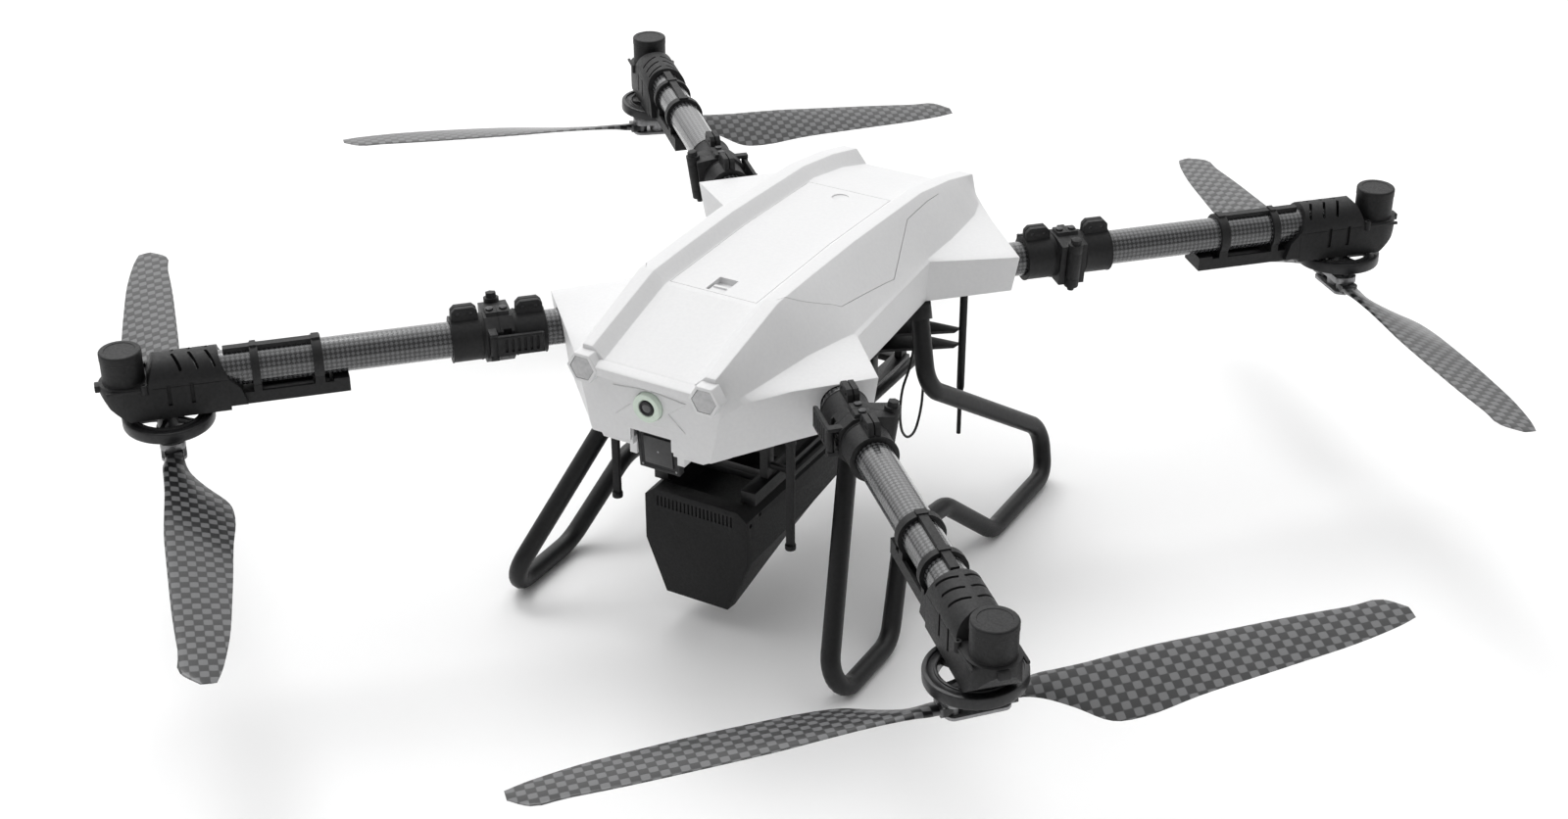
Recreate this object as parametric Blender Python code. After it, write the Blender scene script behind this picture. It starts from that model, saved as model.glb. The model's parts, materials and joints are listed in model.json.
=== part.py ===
"""Four-arm agricultural drone with folding carbon arms, in metres, +Z up, nose towards -Y.

The ground is z = 0 and the origin lies midway between the four motors.
Every arm is drawn once in its own frame: u runs outwards along the tube from the motor's centre,
v points to the side of the fold's hinge, z is up. Arms of the other hand are mirrored in v.
"""
import math

import bmesh
import bpy
from mathutils import Matrix, Vector

GAP = 0.0003
BITE = 0.001
ROUND = 20

# The four arms
MOTOR_Y = 0.4995
FRONT_MOTOR_X = 0.4775
REAR_MOTOR_X = 0.4870
ARM_Z = 0.333
TUBE_R = 0.020
TUBE_BORE_R = 0.018
SEAT_R = TUBE_R + GAP
SLEEVE_R = 0.0255
STRAP_R = 0.0245

# Fold joint, measured along u from the motor's centre
FOLD_U = -0.358
CLAMP_HALF_LENGTH = 0.052
FLANGE_LENGTH = 0.0155
SOCKET_FLOOR = 0.004
FLANGE_HALF_V = 0.0262
FLANGE_LOW_Z = 0.3060
FLANGE_HIGH_Z = 0.3600
PIN_V = 0.031
PIN_TILT = math.radians(8.0)
PIN_R = 0.004
PIN_HEAD_R = 0.0062
PIN_CLEARANCE = 0.00035
LUG_R = 0.0085
LUG_SPLIT = 0.0172
LUG_END = 0.0285
PIN_END = 0.0345
ROOT_END_U = -0.500

# Latch lever of the fold joint
LEVER_PIVOT_U = -0.3490
LEVER_V = -0.0340
LEVER_THICKNESS = 0.0050
LEVER_LENGTH = 0.055
LEVER_LOW_Z = 0.3240
LEVER_HIGH_Z = 0.3470
LEVER_RIBS = 6
LEVER_BARREL_R = 0.0042

# Motor pod
POD_INNER_U = -0.066
POD_HALF_WIDTH = 0.0265
POD_FLOOR_Z = 0.2955
CAP_U = 0.0406
CAP_R = 0.0225
CAP_LOW_Z = 0.3345
CAP_HIGH_Z = 0.3700
STRAP_STATIONS = ((-0.1000, -0.0915), (-0.1670, -0.1565))
TRAY_END_U = -0.193
TRAY_HALF_WIDTH = 0.0195

# Motor and propeller
MOTOR_Z = 0.285
MOTOR_CANT = math.radians(3.0)
BELL_R = 0.049
BELL_INNER_R = 0.0345
BELL_HALF_HEIGHT = 0.0065
SPOKES = 5
SHAFT_R = 0.004
HUB_R = 0.0135
BLADE_PIN_R = 0.024
BLADE_Z = -0.0310
BLADE_ROOT_THICKNESS = 0.0096
PROP_R = 0.432

# Landing gear
GEAR_TUBE_R = 0.0110
GEAR_LEAN = 0.33
GEAR_FOOT_X = 0.2139
GEAR_FOOT_Z = 0.0112

# Body
SKIN = 0.003
SEAM = 0.0004
FRAME_LOW_Z = 0.3036
FRAME_THICKNESS = 0.004


def clear_scene():
    for item in list(bpy.data.objects):
        bpy.data.objects.remove(item, do_unlink=True)


def material(name, colour, roughness, metallic=0.0):
    found = bpy.data.materials.get(name)
    if found:
        return found
    made = bpy.data.materials.new(name)
    made.use_nodes = True
    shader = made.node_tree.nodes["Principled BSDF"]
    shader.inputs["Base Color"].default_value = (*colour, 1.0)
    shader.inputs["Roughness"].default_value = roughness
    shader.inputs["Metallic"].default_value = metallic
    return made


# ---------------------------------------------------------------- solids

def mesh_of(bm):
    bmesh.ops.recalc_face_normals(bm, faces=bm.faces)
    mesh = bpy.data.meshes.new("solid")
    bm.to_mesh(mesh)
    bm.free()
    return mesh


def box(low, high):
    bm = bmesh.new()
    size = Vector(high) - Vector(low)
    centre = (Vector(high) + Vector(low)) / 2
    bmesh.ops.create_cube(bm, size=1.0, matrix=Matrix.Translation(centre) @ Matrix.Diagonal((*size, 1.0)))
    return mesh_of(bm)


def prism(points, low, high, axis):
    """Extrude a flat outline; axis X takes (y, z) points, Y takes (x, z) and Z takes (x, y)."""
    bm = bmesh.new()
    place = {
        "X": lambda p, h: (h, p[0], p[1]),
        "Y": lambda p, h: (p[0], h, p[1]),
        "Z": lambda p, h: (p[0], p[1], h),
    }[axis]
    rings = [[bm.verts.new(place(p, h)) for p in points] for h in (low, high)]
    bm.faces.new(rings[0])
    bm.faces.new(rings[1])
    for i in range(len(points)):
        j = (i + 1) % len(points)
        bm.faces.new((rings[0][i], rings[0][j], rings[1][j], rings[1][i]))
    return mesh_of(bm)


def loft(rows):
    """Join rings of equal length into one closed solid with flat ends."""
    bm = bmesh.new()
    rings = [[bm.verts.new(p) for p in row] for row in rows]
    for a, b in zip(rings, rings[1:]):
        for i in range(len(a)):
            j = (i + 1) % len(a)
            bm.faces.new((a[i], a[j], b[j], b[i]))
    bm.faces.new(rings[0])
    bm.faces.new(rings[-1])
    bmesh.ops.triangulate(bm, faces=[f for f in bm.faces if len(f.verts) == 4])
    return mesh_of(bm)


def rod(start, end, radius, sides=20, end_radius=None):
    start, end = Vector(start), Vector(end)
    along = end - start
    turn = Vector((0, 0, 1)).rotation_difference(along).to_matrix().to_4x4()
    bm = bmesh.new()
    bmesh.ops.create_cone(
        bm, cap_ends=True, segments=sides, radius1=radius,
        radius2=radius if end_radius is None else end_radius, depth=along.length,
        matrix=Matrix.Translation((start + end) / 2) @ turn)
    return mesh_of(bm)


def turned(profile, sides):
    """Turn a closed (radius, z) outline around z; every radius is above zero."""
    bm = bmesh.new()
    rings = []
    for k in range(sides):
        angle = 2 * math.pi * k / sides
        rings.append([bm.verts.new((r * math.cos(angle), r * math.sin(angle), z)) for r, z in profile])
    for k in range(sides):
        a, b = rings[k], rings[(k + 1) % sides]
        for i in range(len(profile)):
            j = (i + 1) % len(profile)
            bm.faces.new((a[i], a[j], b[j], b[i]))
    return mesh_of(bm)


def lathe(stations, sides):
    """Stack circles of (radius, z) into one closed round solid with flat ends."""
    turns = [2 * math.pi * k / sides for k in range(sides)]
    return loft([[(r * math.cos(a), r * math.sin(a), z) for a in turns] for r, z in stations])


def moved(mesh, matrix):
    mesh.transform(matrix)
    if matrix.determinant() < 0:
        mesh.flip_normals()
    return mesh


def combine(first, others, operation):
    """Boolean one mesh with a list of others and return the result as a new mesh."""
    scene = bpy.context.scene.collection
    body = bpy.data.objects.new("body", first)
    scene.objects.link(body)
    tools = []
    for mesh in others:
        tool = bpy.data.objects.new("tool", mesh)
        scene.objects.link(tool)
        modifier = body.modifiers.new("cut", "BOOLEAN")
        modifier.operation = operation
        modifier.solver = "EXACT"
        modifier.object = tool
        tools.append(tool)
    graph = bpy.context.evaluated_depsgraph_get()
    result = bpy.data.meshes.new_from_object(body.evaluated_get(graph))
    for item in [body, *tools]:
        bpy.data.objects.remove(item, do_unlink=True)
    bm = bmesh.new()
    bm.from_mesh(result)
    bmesh.ops.remove_doubles(bm, verts=bm.verts, dist=0.00001)
    bmesh.ops.dissolve_degenerate(bm, edges=bm.edges, dist=0.00001)
    bmesh.ops.dissolve_limit(bm, angle_limit=math.radians(0.3), verts=bm.verts, edges=bm.edges)
    bmesh.ops.delete(bm, geom=[e for e in bm.edges if not e.link_faces], context="EDGES")
    bmesh.ops.delete(bm, geom=[v for v in bm.verts if not v.link_faces], context="VERTS")
    bm.to_mesh(result)
    bm.free()
    return result


def union(first, *others):
    return combine(first, others, "UNION")


def cut(first, *others):
    return combine(first, others, "DIFFERENCE")


def common(first, *others):
    return combine(first, others, "INTERSECT")


def add(name, mesh, look, pivot=(0.0, 0.0, 0.0), smooth_angle=35.0):
    """Place a world-space mesh as a named object whose origin is its joint's pivot."""
    mesh.transform(Matrix.Translation(-Vector(pivot)))
    mesh.name = name
    mesh.materials.clear()
    mesh.materials.append(look)
    mesh.shade_smooth()
    mesh.set_sharp_from_angle(angle=math.radians(smooth_angle))
    item = bpy.data.objects.new(name, mesh)
    item.location = pivot
    bpy.context.scene.collection.objects.link(item)
    return item


def mirrored(mesh):
    return moved(mesh.copy(), Matrix.Diagonal((-1.0, 1.0, 1.0, 1.0)))


# ---------------------------------------------------------------- arm solids, in the arm's frame

def tube(u_start, u_end):
    outer = rod((u_start, 0, ARM_Z), (u_end, 0, ARM_Z), TUBE_R, ROUND)
    bore = rod((u_start - BITE, 0, ARM_Z), (u_end + BITE, 0, ARM_Z), TUBE_BORE_R, ROUND)
    return cut(outer, bore)


def pin_point(along):
    """A point on the leaning hinge pin, at a signed distance from the height of the tube's axis."""
    return Vector((FOLD_U, PIN_V + along * math.sin(PIN_TILT), ARM_Z + along * math.cos(PIN_TILT)))


def pin_rod(start, end, radius, sides=16):
    return rod(pin_point(start), pin_point(end), radius, sides)


def clamp_ears(u_low, u_high):
    """Upstanding double ear of a tube clamp, slit along its middle, with two screw holes."""
    top, shoulder, corner = 0.3720, 0.3500, 0.0040
    outline = [(u_low, shoulder), (u_high, shoulder), (u_high, top - corner), (u_high - corner, top),
               (u_low + corner, top), (u_low, top - corner)]
    ear = prism(outline, -0.0065, 0.0065, "Y")
    third = (u_high - u_low) / 4
    holes = [rod((u, -0.01, 0.3650), (u, 0.01, 0.3650), 0.0018, 6) for u in (u_low + third, u_high - third)]
    slit = box((u_low - BITE, -0.0008, 0.3600), (u_high + BITE, 0.0008, top + BITE))
    return cut(ear, *holes, slit)


def hinge_half(side):
    """One half of the fold joint: side -1 grips the root tube, side +1 grips the arm's tube."""
    face = FOLD_U + side * GAP / 2
    end = FOLD_U + side * CLAMP_HALF_LENGTH
    flange_end = FOLD_U + side * FLANGE_LENGTH
    low, high = sorted((face, flange_end))
    flange_outline = [(-FLANGE_HALF_V, FLANGE_LOW_Z + 0.012), (-0.012, FLANGE_LOW_Z),
                      (PIN_V - 0.004, FLANGE_LOW_Z), (PIN_V + 0.002, FLANGE_HIGH_Z - 0.003),
                      (0.012, FLANGE_HIGH_Z), (-0.012, FLANGE_HIGH_Z),
                      (-FLANGE_HALF_V, FLANGE_HIGH_Z - 0.012)]
    flange = prism(flange_outline, low, high, "X")
    sleeve = rod((flange_end - side * BITE, 0, ARM_Z), (end, 0, ARM_Z), SLEEVE_R, ROUND)
    ear_low, ear_high = sorted((flange_end + side * 0.006, end - side * 0.002))
    knuckles = pin_rod(-LUG_END, LUG_END, LUG_R)
    solid = union(sleeve, flange, clamp_ears(ear_low, ear_high), knuckles)
    split, beyond = LUG_SPLIT - side * GAP / 2, LUG_END + 0.010
    if side < 0:
        room = [pin_rod(-split, split, LUG_R + GAP), pin_rod(LUG_END, beyond, LUG_R + GAP),
                pin_rod(-beyond, -LUG_END, LUG_R + GAP)]
    else:
        room = [pin_rod(split, beyond, LUG_R + GAP), pin_rod(-beyond, -split, LUG_R + GAP)]
    socket = rod((face + side * SOCKET_FLOOR, 0, ARM_Z), (end + side * BITE, 0, ARM_Z), SEAT_R, ROUND)
    solid = cut(solid, *room, socket)
    if side < 0:
        pin = pin_rod(-PIN_END, PIN_END, PIN_R, 12)
        head = pin_rod(LUG_END - BITE, PIN_END - GAP, PIN_HEAD_R, 6)
        return union(solid, pin, head)
    return cut(solid, pin_rod(-PIN_END, PIN_END, PIN_R + PIN_CLEARANCE, 12))


def lever_bracket():
    """Two small lugs on the moving half that hold the lever's pivot."""
    lugs = []
    lower, upper = (LEVER_LOW_Z - 0.0045, LEVER_LOW_Z - GAP), (LEVER_HIGH_Z + GAP, LEVER_HIGH_Z + 0.0045)
    for low, high in (lower, upper):
        lugs.append(box((LEVER_PIVOT_U - 0.0042, LEVER_V - 0.0035, low),
                        (LEVER_PIVOT_U + 0.0045, -0.020, high)))
    axle = rod((LEVER_PIVOT_U, LEVER_V, LEVER_LOW_Z - 0.002),
               (LEVER_PIVOT_U, LEVER_V, LEVER_HIGH_Z + 0.002), 0.0014, 8)
    return [*lugs, axle]


def latch_lever():
    """Flat ribbed lever along the inner clamp, round at its pivot."""
    end = LEVER_PIVOT_U - LEVER_LENGTH
    outer, inner = LEVER_V - LEVER_THICKNESS / 2, LEVER_V + LEVER_THICKNESS / 2
    outline = [(LEVER_PIVOT_U, outer), (LEVER_PIVOT_U, inner), (end + 0.002, inner), (end, inner - 0.002),
               (end, outer + 0.001), (end + 0.001, outer)]
    plate = prism(outline, LEVER_LOW_Z, LEVER_HIGH_Z, "Z")
    barrel = rod((LEVER_PIVOT_U, LEVER_V, LEVER_LOW_Z),
                 (LEVER_PIVOT_U, LEVER_V, LEVER_HIGH_Z), LEVER_BARREL_R, 12)
    solid = union(barrel, plate)
    bore = rod((LEVER_PIVOT_U, LEVER_V, LEVER_LOW_Z - BITE),
               (LEVER_PIVOT_U, LEVER_V, LEVER_HIGH_Z + BITE), 0.0018, 8)
    pitch = LEVER_LENGTH * 0.75 / LEVER_RIBS
    slots = []
    for k in range(LEVER_RIBS):
        u = end + 0.006 + k * pitch
        slots.append(box((u, outer - BITE, LEVER_LOW_Z + 0.004),
                         (u + pitch * 0.45, outer + 0.0014, LEVER_HIGH_Z - 0.004)))
    return cut(solid, bore, *slots)


def arch(half_width, floor_z, sides=12):
    """Outline in (v, z): straight sides with a half round over the tube's axis."""
    points = [(half_width, floor_z)]
    for k in range(sides + 1):
        angle = math.pi * k / sides
        points.append((half_width * math.cos(angle), ARM_Z + half_width * math.sin(angle)))
    points.append((-half_width, floor_z))
    return points


def motor_pod():
    """Boat-shaped casing over the tube's end, with its strap cage and cable tray."""
    top = ARM_Z + POD_HALF_WIDTH
    side_view = [(POD_INNER_U, POD_FLOOR_Z), (0.040, POD_FLOOR_Z), (0.058, 0.3110), (0.0670, 0.3260),
                 (0.0670, CAP_LOW_Z - GAP), (0.0175, CAP_LOW_Z - GAP), (0.008, top), (POD_INNER_U, top)]
    nose = [(CAP_U + POD_HALF_WIDTH * math.sin(a), -POD_HALF_WIDTH * math.cos(a))
            for a in [math.pi * k / 10 for k in range(11)]]
    plan = [(POD_INNER_U, -POD_HALF_WIDTH), *nose, (POD_INNER_U, POD_HALF_WIDTH)]
    casing = common(prism(arch(POD_HALF_WIDTH, POD_FLOOR_Z), POD_INNER_U, 0.068, "X"),
                    prism(side_view, -0.04, 0.04, "Y"), prism(plan, 0.28, 0.38, "Z"))
    straps = []
    for u_low, u_high in STRAP_STATIONS:
        straps.append(rod((u_low, 0, ARM_Z), (u_high, 0, ARM_Z), STRAP_R, ROUND))
        straps.append(box((u_low, -TRAY_HALF_WIDTH, 0.2985), (u_high, TRAY_HALF_WIDTH, 0.3180)))
    spine = box((STRAP_STATIONS[1][0] + BITE, -0.0045, 0.3500), (POD_INNER_U + BITE, 0.0045, 0.3575))
    tray = box((TRAY_END_U, -TRAY_HALF_WIDTH, 0.2968), (POD_INNER_U + BITE, TRAY_HALF_WIDTH, 0.3105))
    end_tab = box((0.060, -0.006, 0.3270), (0.0715, 0.006, 0.3330))
    solid = union(casing, tray, *straps, spine, end_tab)
    bore = rod((-0.21, 0, ARM_Z), (-0.0180, 0, ARM_Z), SEAT_R, ROUND)
    channel = box((TRAY_END_U + 0.003, -0.0160, 0.2998), (STRAP_STATIONS[1][0] - BITE, 0.0160, 0.33))
    middle = box((STRAP_STATIONS[1][1] + BITE, -0.0160, 0.2998), (STRAP_STATIONS[0][0] - BITE, 0.0160, 0.33))
    slits = []
    for k in range(3):
        u = -0.052 + 0.0175 * k
        slits.append(box((u, -0.012, 0.3480), (u + 0.0040, 0.012, 0.3620)))
    vents = []
    for k in range(2):
        u = -0.030 + 0.027 * k
        vents.append(box((u, -0.03, 0.3120), (u + 0.0040, -0.0250, 0.3300)))
        vents.append(box((u, 0.0250, 0.3120), (u + 0.0040, 0.03, 0.3300)))
    shaft_hole = moved(rod((0, 0, 0), (0, 0, 0.0315), SHAFT_R + 0.0006, 12), rotor_frame())
    return cut(solid, bore, channel, middle, *slits, *vents, shaft_hole)


def end_cap():
    stations = ((CAP_R, CAP_LOW_Z), (CAP_R, CAP_HIGH_Z - 0.0015), (CAP_R - 0.0015, CAP_HIGH_Z))
    return moved(lathe(stations, ROUND), Matrix.Translation((CAP_U, 0, 0)))


def rotor_frame():
    """The motor's own frame: its top leans away from the hinge side by the cant."""
    return Matrix.Translation((0, 0, MOTOR_Z)) @ Matrix.Rotation(MOTOR_CANT, 4, "X")


def rotor():
    """Spoked motor bell, its shaft, and the hub that holds the two folding blades."""
    bell = turned([(BELL_INNER_R, -BELL_HALF_HEIGHT), (BELL_R - 0.002, -BELL_HALF_HEIGHT),
                   (BELL_R, -BELL_HALF_HEIGHT + 0.002), (BELL_R, BELL_HALF_HEIGHT),
                   (BELL_INNER_R, BELL_HALF_HEIGHT)], 24)
    spokes = []
    for k in range(SPOKES):
        spoke = box((0.004, -0.0023, -0.0045), (BELL_INNER_R + 0.004, 0.0023, 0.0010))
        spokes.append(moved(spoke, Matrix.Rotation(2 * math.pi * k / SPOKES, 4, "Z")))
    core = lathe(((HUB_R - 0.004, -0.0380), (HUB_R - 0.004, -0.0150), (HUB_R, -0.0145), (HUB_R, 0.0060),
                  (SHAFT_R, 0.0065), (SHAFT_R, 0.0260)), 12)
    half = BLADE_ROOT_THICKNESS / 2 + GAP
    width = 0.0105
    plan = [(-width, -BLADE_PIN_R), (-width * 0.6, -BLADE_PIN_R - width * 0.8),
            (width * 0.6, -BLADE_PIN_R - width * 0.8), (width, -BLADE_PIN_R)]
    plan = plan + [(-x, -y) for x, y in plan]
    plates = [prism(plan, BLADE_Z + half, BLADE_Z + half + 0.0050, "Z"),
              prism(plan, BLADE_Z - half - 0.0035, BLADE_Z - half, "Z")]
    bolts = []
    for side in (-1, 1):
        v = side * BLADE_PIN_R
        bolts.append(rod((0, v, BLADE_Z - half - 0.0060), (0, v, BLADE_Z + half + 0.0070), 0.0025, 8))
    return moved(union(bell, *spokes, core, *plates, *bolts), rotor_frame())


# distance from the hub's centre, chord ahead of the pitch axis, chord behind it, pitch in degrees, thickness
BLADE_STATIONS = (
    (0.036, 0.0100, 0.0100, 0.0, 0.0090),
    (0.060, 0.0140, 0.0140, 18.0, 0.0070),
    (0.085, 0.0145, 0.0300, 20.0, 0.0055),
    (0.110, 0.0150, 0.0510, 19.0, 0.0050),
    (0.140, 0.0170, 0.0560, 17.5, 0.0045),
    (0.200, 0.0200, 0.0490, 13.0, 0.0040),
    (0.290, 0.0200, 0.0405, 9.0, 0.0034),
    (0.380, 0.0175, 0.0290, 6.5, 0.0027),
    (0.418, 0.0150, 0.0200, 6.0, 0.0022),
    (PROP_R, 0.0010, 0.0150, 6.0, 0.0014),
)


def blade():
    """One blade along +v, turning towards -u, with its root eye around the hub's bolt."""
    rows = []
    for r, ahead, behind, pitch, thick in BLADE_STATIONS:
        angle = math.radians(pitch)
        chord = ahead + behind
        row = []
        for place, height in ((0, 0), (0.15, 0.50), (0.50, 0.58), (1, 0.06), (0.60, -0.34), (0.15, -0.38)):
            back = place * chord - ahead
            up = height * thick
            row.append((back * math.cos(angle) + up * math.sin(angle), r,
                        BLADE_Z - back * math.sin(angle) + up * math.cos(angle)))
        rows.append(row)
    wing = loft(rows)
    low, high = BLADE_Z - BLADE_ROOT_THICKNESS / 2, BLADE_Z + BLADE_ROOT_THICKNESS / 2
    eye = rod((0, BLADE_PIN_R, low), (0, BLADE_PIN_R, high), 0.0100, 16)
    neck = prism([(-0.0100, BLADE_PIN_R), (0.0100, BLADE_PIN_R), (0.0090, 0.046), (-0.0090, 0.046)],
                 BLADE_Z - 0.0032, BLADE_Z + 0.0032, "Z")
    bore = rod((0, BLADE_PIN_R, low - BITE), (0, BLADE_PIN_R, high + BITE), 0.0029, 8)
    return moved(cut(union(wing, eye, neck), bore), rotor_frame())


# ---------------------------------------------------------------- arms in the world

ARMS = (
    ("front_right", (-FRONT_MOTOR_X, -MOTOR_Y), 225.0, -1),
    ("front_left", (FRONT_MOTOR_X, -MOTOR_Y), 315.0, 1),
    ("rear_left", (REAR_MOTOR_X, MOTOR_Y), 45.0, -1),
    ("rear_right", (-REAR_MOTOR_X, MOTOR_Y), 135.0, 1),
)


def arm_matrix(centre, azimuth, hand):
    return (Matrix.Translation((*centre, 0)) @ Matrix.Rotation(math.radians(azimuth), 4, "Z")
            @ Matrix.Diagonal((1.0, float(hand), 1.0, 1.0)))


def build_arms(looks):
    fold_pivot = pin_point(0.0)
    lever_pivot = Vector((LEVER_PIVOT_U, LEVER_V, (LEVER_LOW_Z + LEVER_HIGH_Z) / 2))
    hub = rotor_frame() @ Vector((0, 0, 0))
    blade_pivots = [rotor_frame() @ Vector((0, side * BLADE_PIN_R, BLADE_Z)) for side in (1, -1)]
    outer = union(hinge_half(1), *lever_bracket())
    tube_end = FOLD_U + SOCKET_FLOOR + GAP
    first_blade = blade()
    half_turn = rotor_frame() @ Matrix.Rotation(math.pi, 4, "Z") @ rotor_frame().inverted()
    second_blade = moved(first_blade.copy(), half_turn)
    kit = (
        ("root_tube", tube(ROOT_END_U, FOLD_U - SOCKET_FLOOR - GAP), "carbon", (0, 0, 0)),
        ("hinge_inner", hinge_half(-1), "nylon", (0, 0, 0)),
        ("hinge_outer", outer, "nylon", fold_pivot),
        ("latch_lever", latch_lever(), "nylon", lever_pivot),
        ("arm_tube", tube(tube_end, -0.0183), "carbon", fold_pivot),
        ("motor_pod", motor_pod(), "nylon", fold_pivot),
        ("end_cap", end_cap(), "nylon", fold_pivot),
        ("rotor", rotor(), "motor", hub),
        ("blade_1", first_blade, "carbon", blade_pivots[0]),
        ("blade_2", second_blade, "carbon", blade_pivots[1]),
    )
    for corner, centre, azimuth, hand in ARMS:
        frame = arm_matrix(centre, azimuth, hand)
        for piece, mesh, look, pivot in kit:
            placed = moved(mesh.copy(), frame)
            add(piece + "_" + corner, placed, looks[look], frame @ Vector(pivot))


# ---------------------------------------------------------------- body

def between(table, y):
    """Straight-line reading of a short table of (y, value) corners."""
    for (y0, a), (y1, b) in zip(table, table[1:]):
        if y <= y1:
            return a + (b - a) * (y - y0) / (y1 - y0)
    return table[-1][1]


CREST_Z = ((-0.3040, 0.3745), (-0.1650, 0.4156), (0.0, 0.4168), (0.1953, 0.4083), (0.2996, 0.3817))
DECK_Z = ((-0.3040, 0.3615), (-0.1720, 0.4015), (0.0, 0.4035), (0.1953, 0.3965), (0.2996, 0.3640))
CREST_X = ((-0.3040, 0.0808), (-0.1650, 0.0860), (0.0, 0.0872), (0.1953, 0.0860), (0.2996, 0.0886))
RIDGE_INNER_X = 0.0690
RIDGE_FOOT_X = 0.0550

# y, side's foot x and z, flange edge x and z, hem x and z
HULL_STATIONS = (
    (-0.2905, 0.0840, 0.3450, 0.0850, 0.3318, 0.0735, 0.2765),
    (-0.2734, 0.0985, 0.3530, 0.1027, 0.3470, 0.0900, 0.2800),
    (-0.2350, 0.1100, 0.3580, 0.1406, 0.3545, 0.1310, 0.2900),
    (-0.1690, 0.1220, 0.3610, 0.2056, 0.3570, 0.1975, 0.3030),
    (-0.0993, 0.1390, 0.3600, 0.1444, 0.3570, 0.1395, 0.3050),
    (0.0000, 0.1335, 0.3600, 0.1370, 0.3570, 0.1330, 0.3050),
    (0.1025, 0.1265, 0.3600, 0.1300, 0.3570, 0.1260, 0.3060),
    (0.1636, 0.1280, 0.3610, 0.2144, 0.3575, 0.2060, 0.3130),
    (0.2377, 0.1220, 0.3600, 0.1456, 0.3570, 0.1390, 0.3130),
    (0.2683, 0.1120, 0.3595, 0.1194, 0.3570, 0.1130, 0.3140),
    (0.2996, 0.0935, 0.3580, 0.0950, 0.3550, 0.0900, 0.3160),
)


def hull_row(station, inset):
    """Half outline from the middle of the deck down to the hem, mirrored into a full row."""
    y, foot_x, foot_z, edge_x, edge_z, hem_x, hem_z = station
    crest_x, crest_z, deck_z = between(CREST_X, y), between(CREST_Z, y), between(DECK_Z, y)
    half = [
        (RIDGE_FOOT_X + inset * 0.4, deck_z - inset),
        (RIDGE_INNER_X + inset * 0.4, crest_z - inset),
        (crest_x - inset * 0.6, crest_z - inset),
        (foot_x - inset * 0.8, foot_z - inset * 0.8),
        (edge_x - inset, edge_z - inset),
        (hem_x - inset, hem_z),
    ]
    shift = y
    if y == HULL_STATIONS[0][0]:
        shift = y + inset
    if y == HULL_STATIONS[-1][0]:
        shift = y - inset
    left = [(x, shift, z) for x, z in half]
    right = [(-x, shift, z) for x, z in reversed(half)]
    return right + left


def hull(inset, hem_drop):
    """Closed hull whose floor joins the two hems; an inset hull is the shell's inside."""
    rows = []
    for station in HULL_STATIONS:
        row = hull_row(station, inset)
        if hem_drop:
            row[0] = (row[0][0], row[0][1], row[0][2] - hem_drop)
            row[-1] = (row[-1][0], row[-1][1], row[-1][2] - hem_drop)
        rows.append(row)
    return loft(rows)


def hexagon(x, z, radius):
    corners = [math.pi * k / 3 for k in range(6)]
    return [(x + radius * math.cos(a), z + radius * math.sin(a)) for a in corners]


LIGHT_X = 0.0745
LIGHT_Z = 0.3572
LIGHT_R = 0.0190
LENS_R = 0.0145
CAMERA_Z = 0.3259
CAMERA_R = 0.0165
STAR = ((-0.0455, 0.3400), (0.0, 0.3450), (0.0455, 0.3400), (0.0235, 0.3225),
        (0.0440, 0.3045), (0.0, 0.3025), (-0.0440, 0.3045), (-0.0235, 0.3225))
CANOPY_PLAN = ((0.0, -0.1720), (0.0810, -0.1650), (0.1180, -0.0880), (0.1250, 0.0220),
               (0.0960, 0.1100), (0.0930, 0.1953), (0.0, 0.1953))
HATCH_HALF_WIDTH = 0.0540
HATCH_FRONT_Y = -0.1600
HATCH_REAR_Y = 0.1500
LATCH_FLOOR_Z = 0.3949


def plan_outline(half_plan, grow):
    """Full plan outline from its right half, moved outwards by grow."""
    centre_y = (half_plan[0][1] + half_plan[-1][1]) / 2
    right = []
    for x, y in half_plan:
        right.append((x + grow if x > 0 else 0.0, y + math.copysign(grow, y - centre_y)))
    return right + [(-x, y) for x, y in reversed(right) if x > 0]


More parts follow.
